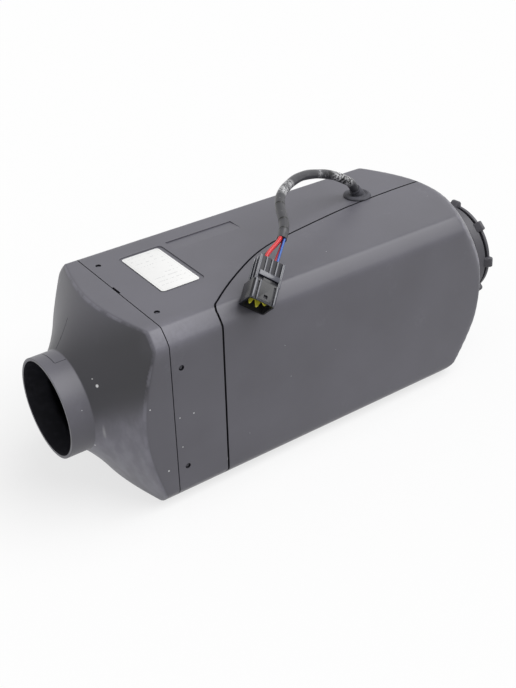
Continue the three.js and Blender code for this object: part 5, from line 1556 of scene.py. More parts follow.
@dataclass
class Hood:
    """The outlet hood with its collar and its snap spigot."""

    form: CasingForm = field(default_factory=CasingForm)
    columns: int = 200
    spigot_length: float = 13.0
    spigot_wall: float = 1.8
    fit: float = 0.3
    no_limit: float = 400.0  # farther out than any part of the section
    peg_profile: tuple[Pair, ...] = (
        (-3.4, TIP), (-3.4, 2.0), (-2.4, 2.0), (-2.2, 1.6), (-1.2, 1.5), (-0.9, 1.2), (-0.9, TIP),
    )

    def build(self) -> Object:
        """Builds the hood."""
        form = self.form
        face = form.seam_x - form.hood_gap / 2
        places = [form.rim_x + s for s in (0, 0.2, 0.7, 1.6, 3.2, 6, 9, 12)]
        places += [form.collar_x + s for s in (-3.2, -1.6, -0.9, -0.6, -0.3, 0, 0.3, 0.6, 0.9, 1.6, 3.2)]
        places += list(np.linspace(form.collar_x + 4, face - 4, 44))
        places += [face - s for s in (2.4, 1.4, 0.7, 0.3, 0.1, 0)]
        made = self._net("hood_body", places, 0.0, form.hood_radius)
        Workshop.thicken(made, form.wall, Finishes.HOOD, 0)
        Workshop.round_edges(made, 0.3, 60)
        Workshop.carve(made, [self._groove(line) for line in self._mould_lines()])
        Workshop.dress(made, Finishes.HOOD, "casing_plastic", ["outlet_hood"])
        self._spigot(face)
        return made

    def _net(self, name: str, places: Sequence[float], inset: float, limit: Callable[[float], float]) -> Object:
        """A closed ring of quads along X.

        Args:
            name: The object's name.
            places: Where its rows are.
            inset: How far inside the outer face it runs.
            limit: How far the section may reach at a place.

        Returns:
            The open-ended net.
        """
        way, points = self.form.outline(inset)
        fine = np.linspace(0, way[-1], 4000, endpoint=False)
        density = np.ones_like(fine)
        for middle in self.form.band_middles(way, points):
            density += 2.5 / (1 + ((fine - middle) / 9.0) ** 4)
        summed = np.cumsum(density)
        along = np.interp(np.linspace(summed[0], summed[-1], self.columns, endpoint=False), summed, fine)
        section = self.form.section(along, way, points)
        return Workshop.grid(name, np.array([self.form.ring(x, limit(x), section) for x in places]), True)

    def _mould_lines(self) -> list[list[Vector]]:
        """The stepped mould line on the collar and the short one up the cone."""
        form = self.form
        across, base = form.rim_x + 8.7, form.collar_x
        spots = [[(across, a) for a in range(67, 99, 3)], [(across, 97.6), (base - 0.4, 97.6)]]
        spots.append([(x, 71.0) for x in np.linspace(base + 0.6, base + 15, 8)])
        lines = []
        for line in spots:
            points = []
            for x, degrees in line:
                reach = form.hood_radius(x)
                turn = math.radians(degrees)
                points.append(Vector((x, reach * math.cos(turn), AXIS_Z + reach * math.sin(turn))))
            lines.append(points)
        return lines

    @staticmethod
    def _groove(line: Sequence[Vector]) -> Object:
        """A thin tool that leaves a groove with painted shade on its faces."""
        return Workshop.painted_light_slot(Workshop.tube("groove", line, lambda share, angle: 0.26, 8))

    def _spigot(self, face: float) -> None:
        """Builds the spigot inside the casing, with its snap pegs.

        Args:
            face: Where the hood ends.
        """
        end = self.form.seam_x + self.spigot_length
        inset = self.form.wall + self.fit
        made = self._net("hood_spigot", [face - 3, face, end - 1.5, end], inset, lambda x: self.no_limit)
        Workshop.thicken(made, self.spigot_wall, Finishes.INSIDE)
        Workshop.dress(made, Finishes.INSIDE, "casing_plastic")
        pegs = [Workshop.lathe("peg", self.peg_profile, 24, *at) for at in Shells().peg_places()]
        Workshop.dress(Workshop.join("hood_pegs", pegs), Finishes.RUBBER, "casing_plastic")


@dataclass
class Inlet:
    """The intake ring and the grille cap."""

    end_x: float = 168.0
    ring_radius: float = 37.5
    ring_wall: float = 3.5
    ring_span: Pair = (-6.5, 22.0)  # from the casing's end
    flange: Pair = (4.5, 2.0)  # its height and its thickness
    grille_low: float = 183.5
    grille_high: float = 199.0
    grille_radius: float = 40.0
    slot_low: float = 192.4
    slot_high: float = 195.6
    slot_depth: float = 3.0
    rim_radius: float = 39.2
    bore: float = 36.2
    neck_depth: float = 7.0
    web: Pair = (20.6, 23.0)  # the inner ring's two radii
    hub_radius: float = 7.0
    bars: int = 8
    bar_width: float = 2.6
    phase: float = 85.5  # the first bar's angle
    lug_reach: float = 3.8
    lug_angle: float = 10.5
    lug_length: float = 8.5
    lug_ramp: float = 4.5

    def build(self) -> None:
        """Builds the ring, the cap and a ring of painted shade in the cap's groove."""
        self._ring()
        parts = [self._skirt(), *self._webs(), self._lugs(), self._bars()]
        Workshop.dress(Workshop.join("grille_cap", parts), Finishes.GRILLE, "casing_plastic", ["inlet_grille"])
        low, high = self.slot_low - 0.1, self.slot_high + 0.1
        r = self.grille_radius - self.slot_depth + 0.2
        band = [(low, r - 0.2), (low, r), (high, r), (high, r - 0.2)]
        # a thin dark ring at the groove's floor: painted shade
        shade = Workshop.lathe("grille_slot", band, 96, *SPINE)
        Workshop.dress(shade, Finishes.INSIDE, "black_plastic")

    def _ring(self) -> None:
        """The plain ring between the casing and the cap, with its flange inside the casing."""
        low, high = (self.end_x + reach for reach in self.ring_span)
        r, bore, (tall, thick) = self.ring_radius, self.ring_radius - self.ring_wall, self.flange
        profile = [
            (low, r - 2.5), (low, r + tall - 0.2), (low + 0.2, r + tall), (low + thick - 0.2, r + tall),
            (low + thick, r + tall - 0.2), (low + thick, r), (high - 0.4, r), (high, r - 0.4),
            (high, bore + 0.4), (high - 0.4, bore), (low + thick, bore),
        ]
        made = Workshop.lathe("intake_ring_fine", profile, 96, *SPINE)
        # near-black: partly the ring's own colour, partly painted shade for the gap before the dome
        Workshop.dress(made, Finishes.BLACK, "black_plastic", ["intake_ring"])

    def _skirt(self) -> Object:
        """The cap's turned skirt, with a groove near its outer end."""
        low, high, r, rim = self.grille_low, self.grille_high, self.grille_radius, self.rim_radius
        slot_low, slot_high, deep = self.slot_low, self.slot_high, self.grille_radius - self.slot_depth
        neck, step, bore = self.ring_radius + 0.3, self.grille_low + self.neck_depth, self.bore
        profile = [
            (low, neck), (low, r - 0.4), (low + 0.4, r), (slot_low - 0.3, r), (slot_low, r - 0.3),
            (slot_low, deep), (slot_high, deep), (slot_high, rim - 0.4), (slot_high + 0.4, rim),
            (high - 0.9, rim), (high - 0.2, rim - 0.7), (high, rim - 1.4), (high, bore + 0.4),
            (high - 0.4, bore), (step + 0.4, bore), (step, bore + 0.4), (step, neck),
        ]
        return Workshop.lathe("skirt", profile, 128, *SPINE)

    def _webs(self) -> list[Object]:
        """The cap's middle disc and its inner ring."""
        low, high, r = self.grille_high - 3, self.grille_high - 0.4, self.hub_radius
        inner, outer = self.web
        disc = [(low, TIP), (low, r), (high - 0.5, r), (high, r - 0.6), (high, TIP)]
        ring = [
            (low, inner), (low, outer), (high - 0.3, outer), (high, outer - 0.3), (high, inner + 0.3),
            (high - 0.3, inner),
        ]
        return [Workshop.lathe("disc", disc, 64, *SPINE), Workshop.lathe("web_ring", ring, 96, *SPINE)]

    def _lugs(self) -> Object:
        """The grip lugs round the rim."""
        r, end = self.grille_radius, self.grille_high - 0.4
        top, root, start = r + self.lug_reach, r - 2.6, self.grille_high - self.lug_length
        side = [
            (start, root), (start, r - 0.2), (start + self.lug_ramp, top), (end - 1.6, top), (end, top - 1.6),
            (end, root),
        ]
        half = top * math.sin(math.radians(self.lug_angle / 2))
        lug = Workshop.prism("lug", side, AXIS_Z - half, AXIS_Z + half, Plane.XY)
        Workshop.round_edges(lug, 1.2, 30, 4)
        return ring_of_copies("lug_ring", lug, Finishes.GRILLE, self.bars, self.phase)

    def _bars(self) -> Object:
        """The radial bars of the face."""
        low, high = self.grille_high - 3, self.grille_high - 0.5
        start, end, half = self.hub_radius - 1, self.bore + 0.8, self.bar_width / 2
        outline = [(start, -half), (end, -half), (end, half), (start, half)]
        bar = Workshop.prism("bar", outline, low, high, Plane.XY)
        bar.data.transform(Matrix(((0, 0, 1, 0), (1, 0, 0, 0), (0, 1, 0, AXIS_Z * MM), (0, 0, 0, 1))))
        Workshop.round_edges(bar, 0.4, 30, 2)
        return ring_of_copies("bar_ring", bar, Finishes.GRILLE, self.bars, self.phase)


@dataclass
class Label:
    """The blank label on the upper face, as large as its finish says."""

    low: float = 143.5
    high: float = 143.8

    def build(self) -> None:
        """Builds the label."""
        (x, y), (a, b) = Finishes.LABEL.value.middle, Finishes.LABEL.value.half
        outline = Shells.box((x - a, y - b), (x + a, y + b), 2.4)
        made = Workshop.prism("label_blank", outline, self.low, self.high, Plane.XY)
        Workshop.round_edges(made, 0.08, 60, 2)
        Workshop.dress(made, Finishes.LABEL, "label_film", ["label_plate"])


# ---------------------------------------------------------------- harness


@dataclass
class Harness:
    """The grommet, the sleeve with its wires, and the connector."""

    tilt: float = 35.0
    neck_length: float = 5.3
    flange_radius: float = 11.2
    plug_radius: float = 8.0
    lip_radius: float = 10.0
    sleeve: float = 7.6
    fit: float = 0.3
    route: tuple[Point, ...] = (
        (88.5, 17, 157.2), (77, 16.7, 165), (61.5, 15.2, 172.6), (43, 12.2, 178.4), (28, 7.8, 180.9),
        (14, 1.2, 181.2), (1.5, -7.2, 179.8), (-7.3, -18, 177.5), (-12.8, -28.5, 175.2), (-18, -37, 173),
        (-23, -42.8, 171.2), (-27.6, -46.9, 169.4),
    )
    rear: Point = (-45.7, -55.0, 160.0)  # the middle of the connector's rear face
    heading: float = 218.7
    dip: float = 30.0
    roll: float = -38.0
    tape_step: float = 0.32
    tape_groove: float = 0.3
    softness: float = 0.07
    bundle: tuple[Pair, ...] = ((-1.65, 1.1), (1.3, 1.9), (-0.9, -1.95), (1.8, -0.9))
    wires: tuple[tuple[str, Finishes, str, float], ...] = (
        ("wire_positive", Finishes.RED, "wire_red", 3.0), ("wire_signal", Finishes.BLUE, "wire_blue", 1.8),
        ("wire_negative", Finishes.LEAD, "lead_black", 3.0), ("wire_sensor", Finishes.RED, "wire_red", 1.8),
    )
    cavity: Pair = (9.0, 4.9)  # from wire to wire, sideways and up
    cavity_middle: float = 3.2
    wire_steps: int = 24

    def _neck(self) -> tuple[Vector, Vector]:
        """The neck's direction and its free end."""
        lean = Vector((-math.sin(math.radians(self.tilt)), 0, math.cos(math.radians(self.tilt))))
        foot = Vector((*HARNESS_EXIT, 2 * AXIS_Z + self.fit + 2))
        return lean, foot + lean * self.neck_length

    def turn(self) -> Matrix:
        """The connector's turn, its own X pointing out of its mouth."""
        roll, dip, heading = (math.radians(a) for a in (self.roll, self.dip, self.heading))
        tipped = Matrix.Rotation(heading, 3, "Z") @ Matrix.Rotation(dip, 3, "Y")
        return tipped @ Matrix.Rotation(roll, 3, "X")

    @staticmethod
    def _between(first: Vector, second: Vector, start: float, end: float, at: float) -> Vector:
        """The place between two others that a value between two others stands for."""
        return first * ((end - at) / (end - start)) + second * ((at - start) / (end - start))

    @classmethod
    def _through(cls, knots: Sequence[Vector], steps: int) -> list[Vector]:
        """A centripetal curve through points.

        Args:
            knots: The points.
            steps: How many steps it has between two of them.

        Returns:
            The curve's points.
        """
        line = []
        ends = [knots[0] * 2 - knots[1], *knots, knots[-1] * 2 - knots[-2]]
        for k in range(1, len(ends) - 2):
            p = ends[k - 1 : k + 3]
            t = [0.0]
            for a, b in zip(p, p[1:]):
                t.append(t[-1] + max((b - a).length ** 0.5, 1e-6))
            for s in range(steps):
                u = t[1] + (t[2] - t[1]) * s / steps
                low = [cls._between(p[i], p[i + 1], t[i], t[i + 1], u) for i in range(3)]
                mid = [cls._between(low[i], low[i + 1], t[i], t[i + 2], u) for i in range(2)]
                line.append(cls._between(mid[0], mid[1], t[1], t[2], u))
        return line + [knots[-1].copy()]

    def build(self) -> None:
        """Builds the harness."""
        lean, end = self._neck()
        self._grommet(lean, end)
        line = self._through([end + lean * self.fit, *(Vector(p) for p in self.route)], 8)
        sleeve = self._sleeve(line)
        along = [self._wire(i, line) for i in range(len(self.wires))]
        pieces = Connector(self).build()
        length = sum((b - a).length for a, b in zip(line, line[1:])) * MM
        line[0] * MM
        [p * MM for p in line]
        LOG.info("sleeve length %.1f mm", length / MM)

    def _grommet(self, lean: Vector, end: Vector) -> None:
        """The rubber grommet with its leaning neck, and the blank plug in the hole below."""
        r, plug, lip, foot = self.flange_radius, self.plug_radius, self.lip_radius, -self.neck_length
        flange = [
            (-4.8, TIP), (-4.8, lip - 0.4), (-4.4, lip), (-2.8, lip), (-2.8, plug), (0, plug),
            (0, r - 0.3), (0.4, r), (1.0, r - 0.3), (1.6, r - 1.2), (1.95, r - 2.6), (1.6, r - 3.6),
            (1.2, r - 4.2), (1.4, TIP),
        ]
        place = (*HARNESS_EXIT, 2 * AXIS_Z + self.fit)
        base = Workshop.lathe("grommet_base", flange, 64, place, (0, 0, 1))
        neck_profile = [
            (foot - 2.6, TIP), (foot - 2.6, 5.2), (foot + 0.6, 4.9),
            (-2.6, 4.6), (-2.2, 4.3), (-1.6, 4.6), (-0.5, 4.6), (0, 4.3), (0, TIP),
        ]
        neck = Workshop.lathe("grommet_neck", neck_profile, 48, end, lean)
        Workshop.dress(Workshop.join("gland", [base, neck]), Finishes.RUBBER, "rubber", ["harness_grommet"])
        wide = lip + 0.5
        blank = [
            (0.4, TIP), (0.4, plug - 0.4), (0.8, plug), (2.5, plug), (2.5, wide - 0.2), (2.7, wide),
            (3.8, wide), (4, wide - 0.2), (4, TIP),
        ]
        cap = Workshop.lathe("gland_blank", blank, 48, (*HARNESS_EXIT, 0), (0, 0, 1))
        Workshop.dress(cap, Finishes.RUBBER, "rubber", ["blanking_plug"])

    def _sleeve(self, line: Sequence[Vector]) -> Object:
        """The sleeve, with soft flats and wound tape near the connector.

        Args:
            line: Its middle line.

        Returns:
            The sleeve.
        """
        half = self.sleeve / 2
        ends = (0.0, *Finishes.VINYL.value.tape_ends, 1.0)

        def radius(share: float, angle: float) -> float:
            """The sleeve's radius: soft flats, and a step where each turn of tape ends."""
            soft = self.softness
            wave = soft * math.sin(share * 61 + 2 * angle) + soft * math.sin(share * 37 - angle)
            turn = max(end for end in ends if end <= share)
            lip = self.tape_step * math.exp(-(share - turn) / 0.012) if 0 < turn < 1 else 0.0
            groove = sum(math.exp(-(((share - place) / 0.004) ** 2)) for place in ends[1:-1])
            return half - 0.2 + wave + lip - self.tape_groove * groove

        sides = 28
        made = Workshop.tube("sleeve", self._through(list(line), 4), radius, sides)
        total = len(made.data.vertices)
        last = total // sides - 1
        along = made.data.attributes.new("along", "FLOAT", "POINT")
        along.data.foreach_set("value", [min(i // sides, last) / last for i in range(total)])
        return Workshop.dress(made, Finishes.VINYL, "sleeve_vinyl", ["harness_sleeve"])

    def cavities(self) -> list[Pair]:
        """The connector's four wire places, from side to side and up."""
        y, half = (gap / 2 for gap in self.cavity)
        low, high = self.cavity_middle - half, self.cavity_middle + half
        return [(-y, high), (y, high), (-y, low), (y, low)]

    def _wire(self, index: int, line: Sequence[Vector]) -> Object:
        """One wire from the sleeve to the connector.

        Args:
            index: The wire's number.
            line: The sleeve's middle line.

        Returns:
            The wire.
        """
        node, finish, slot, thick = self.wires[index]
        end, run = line[-1], (line[-1] - line[-2]).normalized()
        turn = self.turn()
        axis, aside, up = (turn @ Vector(v) for v in ((1, 0, 0), (0, 1, 0), (0, 0, 1)))
        bundle_up = (up - run * up.dot(run)).normalized()
        bundle_side = bundle_up.cross(run)
        sideways, upwards = self.bundle[index]
        start = end + run * self.fit + bundle_side * sideways + bundle_up * upwards
        y, z = self.cavities()[index]
        finish_at = Vector(self.rear) - axis * self.fit + aside * y + up * z
        reach = (finish_at - start).length / 5
        knots = [start, start + run * reach, finish_at - axis * reach, finish_at]
        path = []
        for t in (i / self.wire_steps for i in range(self.wire_steps + 1)):
            weights = ((1 - t) ** 3, 3 * t * (1 - t) ** 2, 3 * t * t * (1 - t), t**3)
            path.append(sum((k * w for k, w in zip(knots, weights)), Vector()))
        made = Workshop.tube(f"{node}_fine", path, lambda share, angle: thick / 2, 20)
        return Workshop.dress(made, finish, slot, [node])


@dataclass
class Connector:
    """The four-way connector at the harness's end, drawn along +X from its rear face."""

    harness: Harness
    length: float = 34.0
    width: float = 20.0
    height: float = 17.4
    chamfer: float = 1.2
    wall: float = 1.3
    floor: float = 19.6  # where the open mouth starts
    low: float = -2.3  # the underside of the lower rear part
    shoulder: float = 6.0
    rib_height: float = 1.1
    rib_width: float = 1.5
    rib_pitch: float = 4.25
    panel_ribs: tuple[Pair, ...] = ((-8.0, 1.8), (-4.9, 1.2), (8.3, 1.5))  # middle and width
    grooves: tuple[Pair, ...] = ((-6.9, -5.7), (5.6, 7.2))  # from and to
    notch: tuple[Pair, Pair] = ((28.4, -0.4), (31.2, 2.6))  # two corners
    tongue: Pair = (-3.8, 5.4)  # from and to
    latch: Point = (12.2, 16.0, 8.0)  # its start, its end and half its width
    post: float = 1.8
    cavity_radius: float = 1.8
    barrel_radius: float = 1.5
    lock_pitch: float = 5.4
    lock_shift: float = 0.3
    lock_top: float = 0.05
    lock_thickness: float = 1.8
    prongs: Point = (4.7, 5.3, 1.8)  # how far each one reaches

    def build(self) -> list[Object]:
        """Builds the housing, the lock and the terminals."""
        made = [self._housing(), self._lock()]
        for i, place in enumerate(self.harness.cavities(), 1):
            made.append(self._terminal(i, place))
        return made

    def _placed(self, made: Object) -> Object:
        """Moves a piece from the connector's own axes to its place."""
        turn = self.harness.turn().to_4x4()
        made.data.transform(Matrix.Translation(Vector(self.harness.rear) * MM) @ turn)
        return made

    def _outline(self, shrink: float) -> list[Pair]:
        """The housing's section with chamfered corners."""
        y, z = self.width / 2 - shrink, self.height / 2 - shrink
        b = self.chamfer - shrink / 2
        half = [(y, b - z), (y, z - b), (y - b, z), (b - y, z)]
        return half + [(-a, -c) for a, c in half]

    @staticmethod
    def _block(name: str, low: Point, high: Point, edge: float = 0.2) -> Object:
        """A block with rounded edges."""
        outline = [(low[0], low[1]), (high[0], low[1]), (high[0], high[1]), (low[0], high[1])]
        made = Workshop.prism(name, outline, low[2], high[2], Plane.XY)
        if edge:
            Workshop.round_edges(made, edge, 30, 2)
        return made

    def _housing(self) -> Object:
        """The ribbed housing with its latch bridge, flat panel and open mouth, with painted shade on its core
        and in its hollows and a painted highlight on its ribs and its mouth's rim.
        """
        y, z, tall = self.width / 2, self.height / 2, self.rib_height
        shroud = Workshop.prism("shroud", self._outline(0), self.floor - self.wall, self.length, Plane.YZ)
        Workshop.round_edges(shroud, 0.35, 30, 3)
        # the mouth's rim gets the lighter rib finish: a painted highlight line
        for face in shroud.data.polygons:
            if face.center.x > (self.length - 0.4) * MM and face.normal.x < 0.95:
                face.material_index = 2
        core = self._block("core", (0, tall - y, self.low + tall), (self.floor, y - tall, z - tall))
        slope = self.floor - self.shoulder
        wedge = [
            (slope, self.low), (self.floor, self.chamfer - z), (self.floor, self.low + tall),
            (slope, self.low + tall),
        ]
        under = Workshop.prism("shoulder", wedge, self.chamfer - y, y - self.chamfer, Plane.XZ)
        # the core between the ribs gets the unlit finish: painted shade
        Workshop.carve(shroud, [Workshop.painted_light_slot(core)], Boolean.JOINED)
        Workshop.carve(shroud, [under], Boolean.JOINED)
        hollow = Workshop.prism("hollow", self._outline(self.wall), self.floor, self.length + 1, Plane.YZ)
        holes = [
            Workshop.rod("cavity", (-1, self.floor + 1), self.cavity_radius, 24, (0, *place), (1, 0, 0))
            for place in self.harness.cavities()
        ]
        # the mouth, cavities, notch and grooves get the unlit finish: painted shade
        Workshop.carve(shroud, [Workshop.painted_light_slot(tool) for tool in (hollow, *holes, *self._cuts())])
        # the ribs get the lighter finish: painted highlight
        ribs = [Workshop.painted_light_slot(rib, 2) for rib in self._ribs()]
        made = Workshop.join("plug_housing", [shroud, self._tongue(), *ribs])
        for finish in (Finishes.CONNECTOR, Finishes.INSIDE, Finishes.RIB_HIGHLIGHT):
            made.data.materials.append(finish.material)
        self._placed(made)
        return Workshop.dress(made, Finishes.CONNECTOR, "connector_black", ["connector_housing"])

    def _cuts(self) -> list[Object]:
        """The tools for the small notch in the flat panel and the grooves beside it."""
        z, start, end = self.height / 2, self.floor + 0.6, self.length + 1
        near, far = self.notch
        tools = [self._block("notch", (*near, z - 2), (*far, z + 1), 0.4)]
        for low, high in self.grooves:
            tools.append(self._block("groove", (start, low, z - 0.8), (end, high, z + 1), 0))
        return tools

    def _tongue(self) -> Object:
        """The flat panel's rear end under the latch bridge."""
        z, (low, high) = self.height / 2, self.tongue
        root = (self.latch[1] - 0.6, low, z - self.rib_height - 0.2)
        return self._block("tongue", root, (self.floor + 0.4, high, z - 0.02))

    def _ribs(self) -> list[Object]:
        """Ribs along the low rear part, those beside the flat panel, and the latch bridge."""
        y, z, tall, half = self.width / 2, self.height / 2, self.rib_height, self.rib_width / 2
        start, end, wide = self.latch
        root, floor, mouth = tall + 0.2, self.floor, self.length - 0.3
        ribs = []
        for k in range(-2, 3):
            at = k * self.rib_pitch
            stop = floor if abs(k) == 2 else end
            ribs.append(self._block("rib", (0, at - half, z - root), (stop, at + half, z), 0.5))
            ribs.append(self._block("rib", (0, at - half, self.low), (floor, at + half, self.low + root), 0.5))
        for low in np.linspace(self.low, z - self.rib_width, 3):
            for side in (-1, 1):
                near, far = sorted((side * y, side * (y - root)))
                ribs.append(self._block("rib", (0, near, low), (floor, far, low + self.rib_width), 0.4))
        for at, width in self.panel_ribs:
            low, high = at - width / 2, at + width / 2
            ribs.append(self._block("rib", (floor - 1, low, z - 0.3), (mouth, high, z + 0.4), 0.35))
        ribs.append(self._block("latch_bar", (start, -wide, z + 0.05), (end, wide, z + 1.0), 0.3))
        for at in (-wide, wide - self.post):
            ribs.append(self._block("latch_post", (start, at, z - root), (end, at + self.post, z + 0.6), 0.2))
        return ribs

    def _lock(self) -> Object:
        """The flat lock with its three prongs."""
        start, top = self.floor + 0.3, self.lock_top
        root, half = start + 9.0, 1.5 * self.lock_pitch
        outline = [(start, self.lock_shift - half)]
        for k, reach in enumerate(self.prongs):
            at, tip = self.lock_shift - half + self.lock_pitch * k, root + reach
            middle = at + self.lock_pitch / 2
            outline += [(root, at + 0.25), (tip, middle - 0.5), (tip, middle + 0.5)]
            outline += [(root, at + self.lock_pitch - 0.25)]
        outline.append((start, self.lock_shift + half))
        made = Workshop.prism("lock", outline, top - self.lock_thickness, top, Plane.XY)
        Workshop.round_edges(made, 0.25, 30, 2)
        self._placed(made)
        return Workshop.dress(made, Finishes.LOCK, "lock_yellow", ["wedge_lock"])

    def _terminal(self, index: int, place: Pair) -> Object:
        """One blade terminal.

        Args:
            index: Its number.
            place: Its place, from side to side and up.

        Returns:
            The terminal.
        """
        y, z = place
        span = (self.floor - 6, self.floor + 0.3)
        barrel = Workshop.rod("barrel", span, self.barrel_radius, 20, (0, y, z), (1, 0, 0))
        tongue = self._block("tongue", (self.floor, y - 1.1, z - 0.4), (self.floor + 7, y + 1.1, z + 0.4), 0.15)
        made = Workshop.join(f"blade_{index}", [barrel, tongue])
        self._placed(made)
        return Workshop.dress(made, Finishes.TIN, "terminal_tin", [f"connector_terminal_{index}"])


# ---------------------------------------------------------------- foot


@dataclass
class Foot:
    """The mounting foot with its stubs, studs and nuts, on the +Y side."""

    low: Pair = (-14.0, 26.0)  # the plate's corners, as x and z
    high: Pair = (98.0, 118.0)
    plate: Pair = (61.3, 70.5)  # from y to y, as for the gasket
    gasket: Pair = (70.8, 73.8)
    exhaust: Pair = (8.0, 12.0)  # x and radius, as for the air
    air: Pair = (76.0, 12.5)
    fuel: Point = (58.1, 98.0, 2.5)  # x, z and radius
    fuel_span: Pair = (50.6, 98.5)
    stub_start: float = 54.0
    stub_ends: Pair = (106.5, 102.5)  # of the exhaust and of the air
    pipe_wall: float = 1.3
    bead_back: float = 5.5
    stud_x: Pair = (-6.0, 90.0)
    stud_z: Pair = (36.0, 108.0)
    stud_span: Pair = (62.3, 96.3)
    thread_start: float = 75.0
    pitch: float = 1.0
    nut_reach: float = 5.7
    nut_span: Pair = (74.1, 79.1)
    nut_cone: tuple[Pair, ...] = ((73, TIP), (73, 5.3), (75.4, 6.6), (77.8, 6.6), (80.2, 5.3), (80.2, TIP))
    nut_bore: tuple[Pair, ...] = ((73, TIP), (73, 3.9), (74.6, 3.3), (78.6, 3.3), (80, 3.9), (80, TIP))
    across: tuple[Point, Point] = ((0, 0, 0), (0, 1, 0))  # the axis of a stud at the origin

    def build(self) -> None:
        """Builds the foot's pieces."""
        self._plate("foot_plate", self.plate, 0.0, 0.3, Finishes.CASTING, "cast_aluminium", "mounting_foot")
        self._plate("foot_seal", self.gasket, 1.0, 0.6, Finishes.RUBBER, "rubber", "foot_gasket", edge=0.5)
        far, near = self.stub_ends
        self._stub("stub_exhaust", self.exhaust, far, Finishes.STEEL, "steel", "exhaust_stub")
        self._stub("stub_air", self.air, near, Finishes.CASTING, "cast_aluminium", "combustion_air_stub")
        x, z, r = self.fuel
        start, end = self.fuel_span
        profile = [(start, 1), (start, r), (end - 0.3, r), (end, r - 0.3), (end, 1)]
        pipe = Workshop.lathe("pipe_fuel", profile, 32, (x, 0, z), (0, 1, 0))
        Workshop.dress(pipe, Finishes.STEEL, "steel", ["fuel_pipe"])
        self._studs()

    def _plate(
        self, name: str, span: Pair, shrink: float, loose: float, finish: Finishes, slot: str, node: str,
        edge: float = 1.0,
    ) -> None:
        """A plate with the foot's outline and holes."""
        low = (self.low[0] + shrink, self.low[1] + shrink)
        high = (self.high[0] - shrink, self.high[1] - shrink)
        outline = Shells.box(low, high, 10)
        made = Workshop.prism(name, outline, *span, Plane.XZ)
        Workshop.round_edges(made, edge, 60, 3)
        holes = [(self.exhaust[0], AXIS_Z, self.exhaust[1]), (self.air[0], AXIS_Z, self.air[1]), self.fuel]
        holes += [(x, z, 3.0) for x in self.stud_x for z in self.stud_z]
        tools = []
        start, end = span[0] - 1, span[1] + 0.4
        for x, z, r in holes:
            reach = r + loose
            profile = [(start, TIP), (start, reach), (end - 0.8, reach), (end, reach + 0.8), (end, TIP)]
            tools.append(Workshop.lathe("hole", profile, 40, (x, 0, z), (0, 1, 0)))
        Workshop.carve(made, tools)
        Workshop.dress(made, finish, slot, [node])

    def _stub(self, name: str, place: Pair, end: float, finish: Finishes, slot: str, node: str) -> None:
        """A pipe stub with a rolled bead."""
        x, r = place
        bore, start, middle = r - self.pipe_wall, self.stub_start, end - self.bead_back
        bead = [
            (middle + 1.6 * math.cos(a), r - 0.4 + 1.2 * math.sin(a))
            for a in np.linspace(math.radians(160), math.radians(20), 9)
        ]
        profile = [
            (start, bore), (start, r), *bead, (end - 0.4, r), (end, r - 0.4), (end, bore + 0.3),
            (end - 0.4, bore),
        ]
        made = Workshop.lathe(name, profile, 64, (x, 0, AXIS_Z), (0, 1, 0))
        Workshop.dress(made, finish, slot, [node], angle=40)

    def _studs(self) -> None:
        """The threaded studs and their flanged nuts, repeated at the foot's corners."""
        (start, end), thread, plain, crest, root = self.stud_span, self.thread_start, 2.6, 2.95, 2.5
        profile = [(start, TIP), (start, plain), (thread - 1, plain), (thread - 0.7, crest)]
        for k in range(int((end - 1 - thread) / self.pitch)):
            at = thread + k * self.pitch
            profile += [(at, crest), (at + 0.5, root)]
        profile += [(end - 1, 2.9), (end, 2.2), (end, TIP)]
        stud = Workshop.lathe("stud", profile, 28, *self.across)
        self._at_corners("studs", stud, "mounting_stud", 32)
        turns = [math.radians(60 * k) for k in range(6)]
        hexagon = [(self.nut_reach * math.cos(a), self.nut_reach * math.sin(a)) for a in turns]
        nut = Workshop.prism("nut", hexagon, *self.nut_span, Plane.XZ)
        Workshop.carve(nut, [Workshop.lathe("cone", self.nut_cone, 48, *self.across)], Boolean.SHARED)
        Workshop.carve(nut, [Workshop.lathe("bore", self.nut_bore, 32, *self.across)])
        self._at_corners("nuts", nut, "stud_nut", 25)

    def _at_corners(self, name: str, made: Object, node: str, angle: float) -> None:
        """Repeats a steel piece at the foot's corners, for the solids with numbers 1 to 4."""
        places = [(x, 0.0, z) for x in self.stud_x for z in self.stud_z]
        repeated = copies_at(name, made, Finishes.STEEL, places)
        Workshop.dress(repeated, Finishes.STEEL, "steel", [f"{node}_{i}" for i in range(1, 5)], angle=angle)


# ---------------------------------------------------------------- inner solids


class CarriedOver:
    """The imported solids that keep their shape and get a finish."""

    FINISHES = {
        Finishes.CASTING: ("heat_exchanger", "blower_housing", "blower_cover"),
        Finishes.BURNER: ("burner_tube",),
        Finishes.GASKET: ("burner_gasket",),
        Finishes.STEEL: (
            "glow_plug", "sensor_clip", "exchanger_screw_1", "exchanger_screw_2", "exchanger_screw_3",
            "exchanger_screw_4", "motor_can", "motor_bearing_front", "motor_bearing_rear", "motor_shaft",
            "impeller_clip",
        ),
        Finishes.BRASS: ("temperature_sensor",),
        Finishes.COPPER: ("motor_armature",),
        Finishes.BLACK: ("combustion_impeller", "air_impeller", "control_unit"),
        Finishes.NYLON: ("control_unit_plug",),
        Finishes.LEAD: ("inner_harness", "sensor_lead", "glow_plug_lead", "motor_lead"),
    }

    def dress(self) -> None:
        """Gives each solid its finish."""
        for finish, names in self.FINISHES.items():
            for name in names:
                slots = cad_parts[name].data.materials
                slots.clear()
                slots.append(finish.material)
                LOG.info("%s: %s", name, finish.name.lower())


# ---------------------------------------------------------------- studio


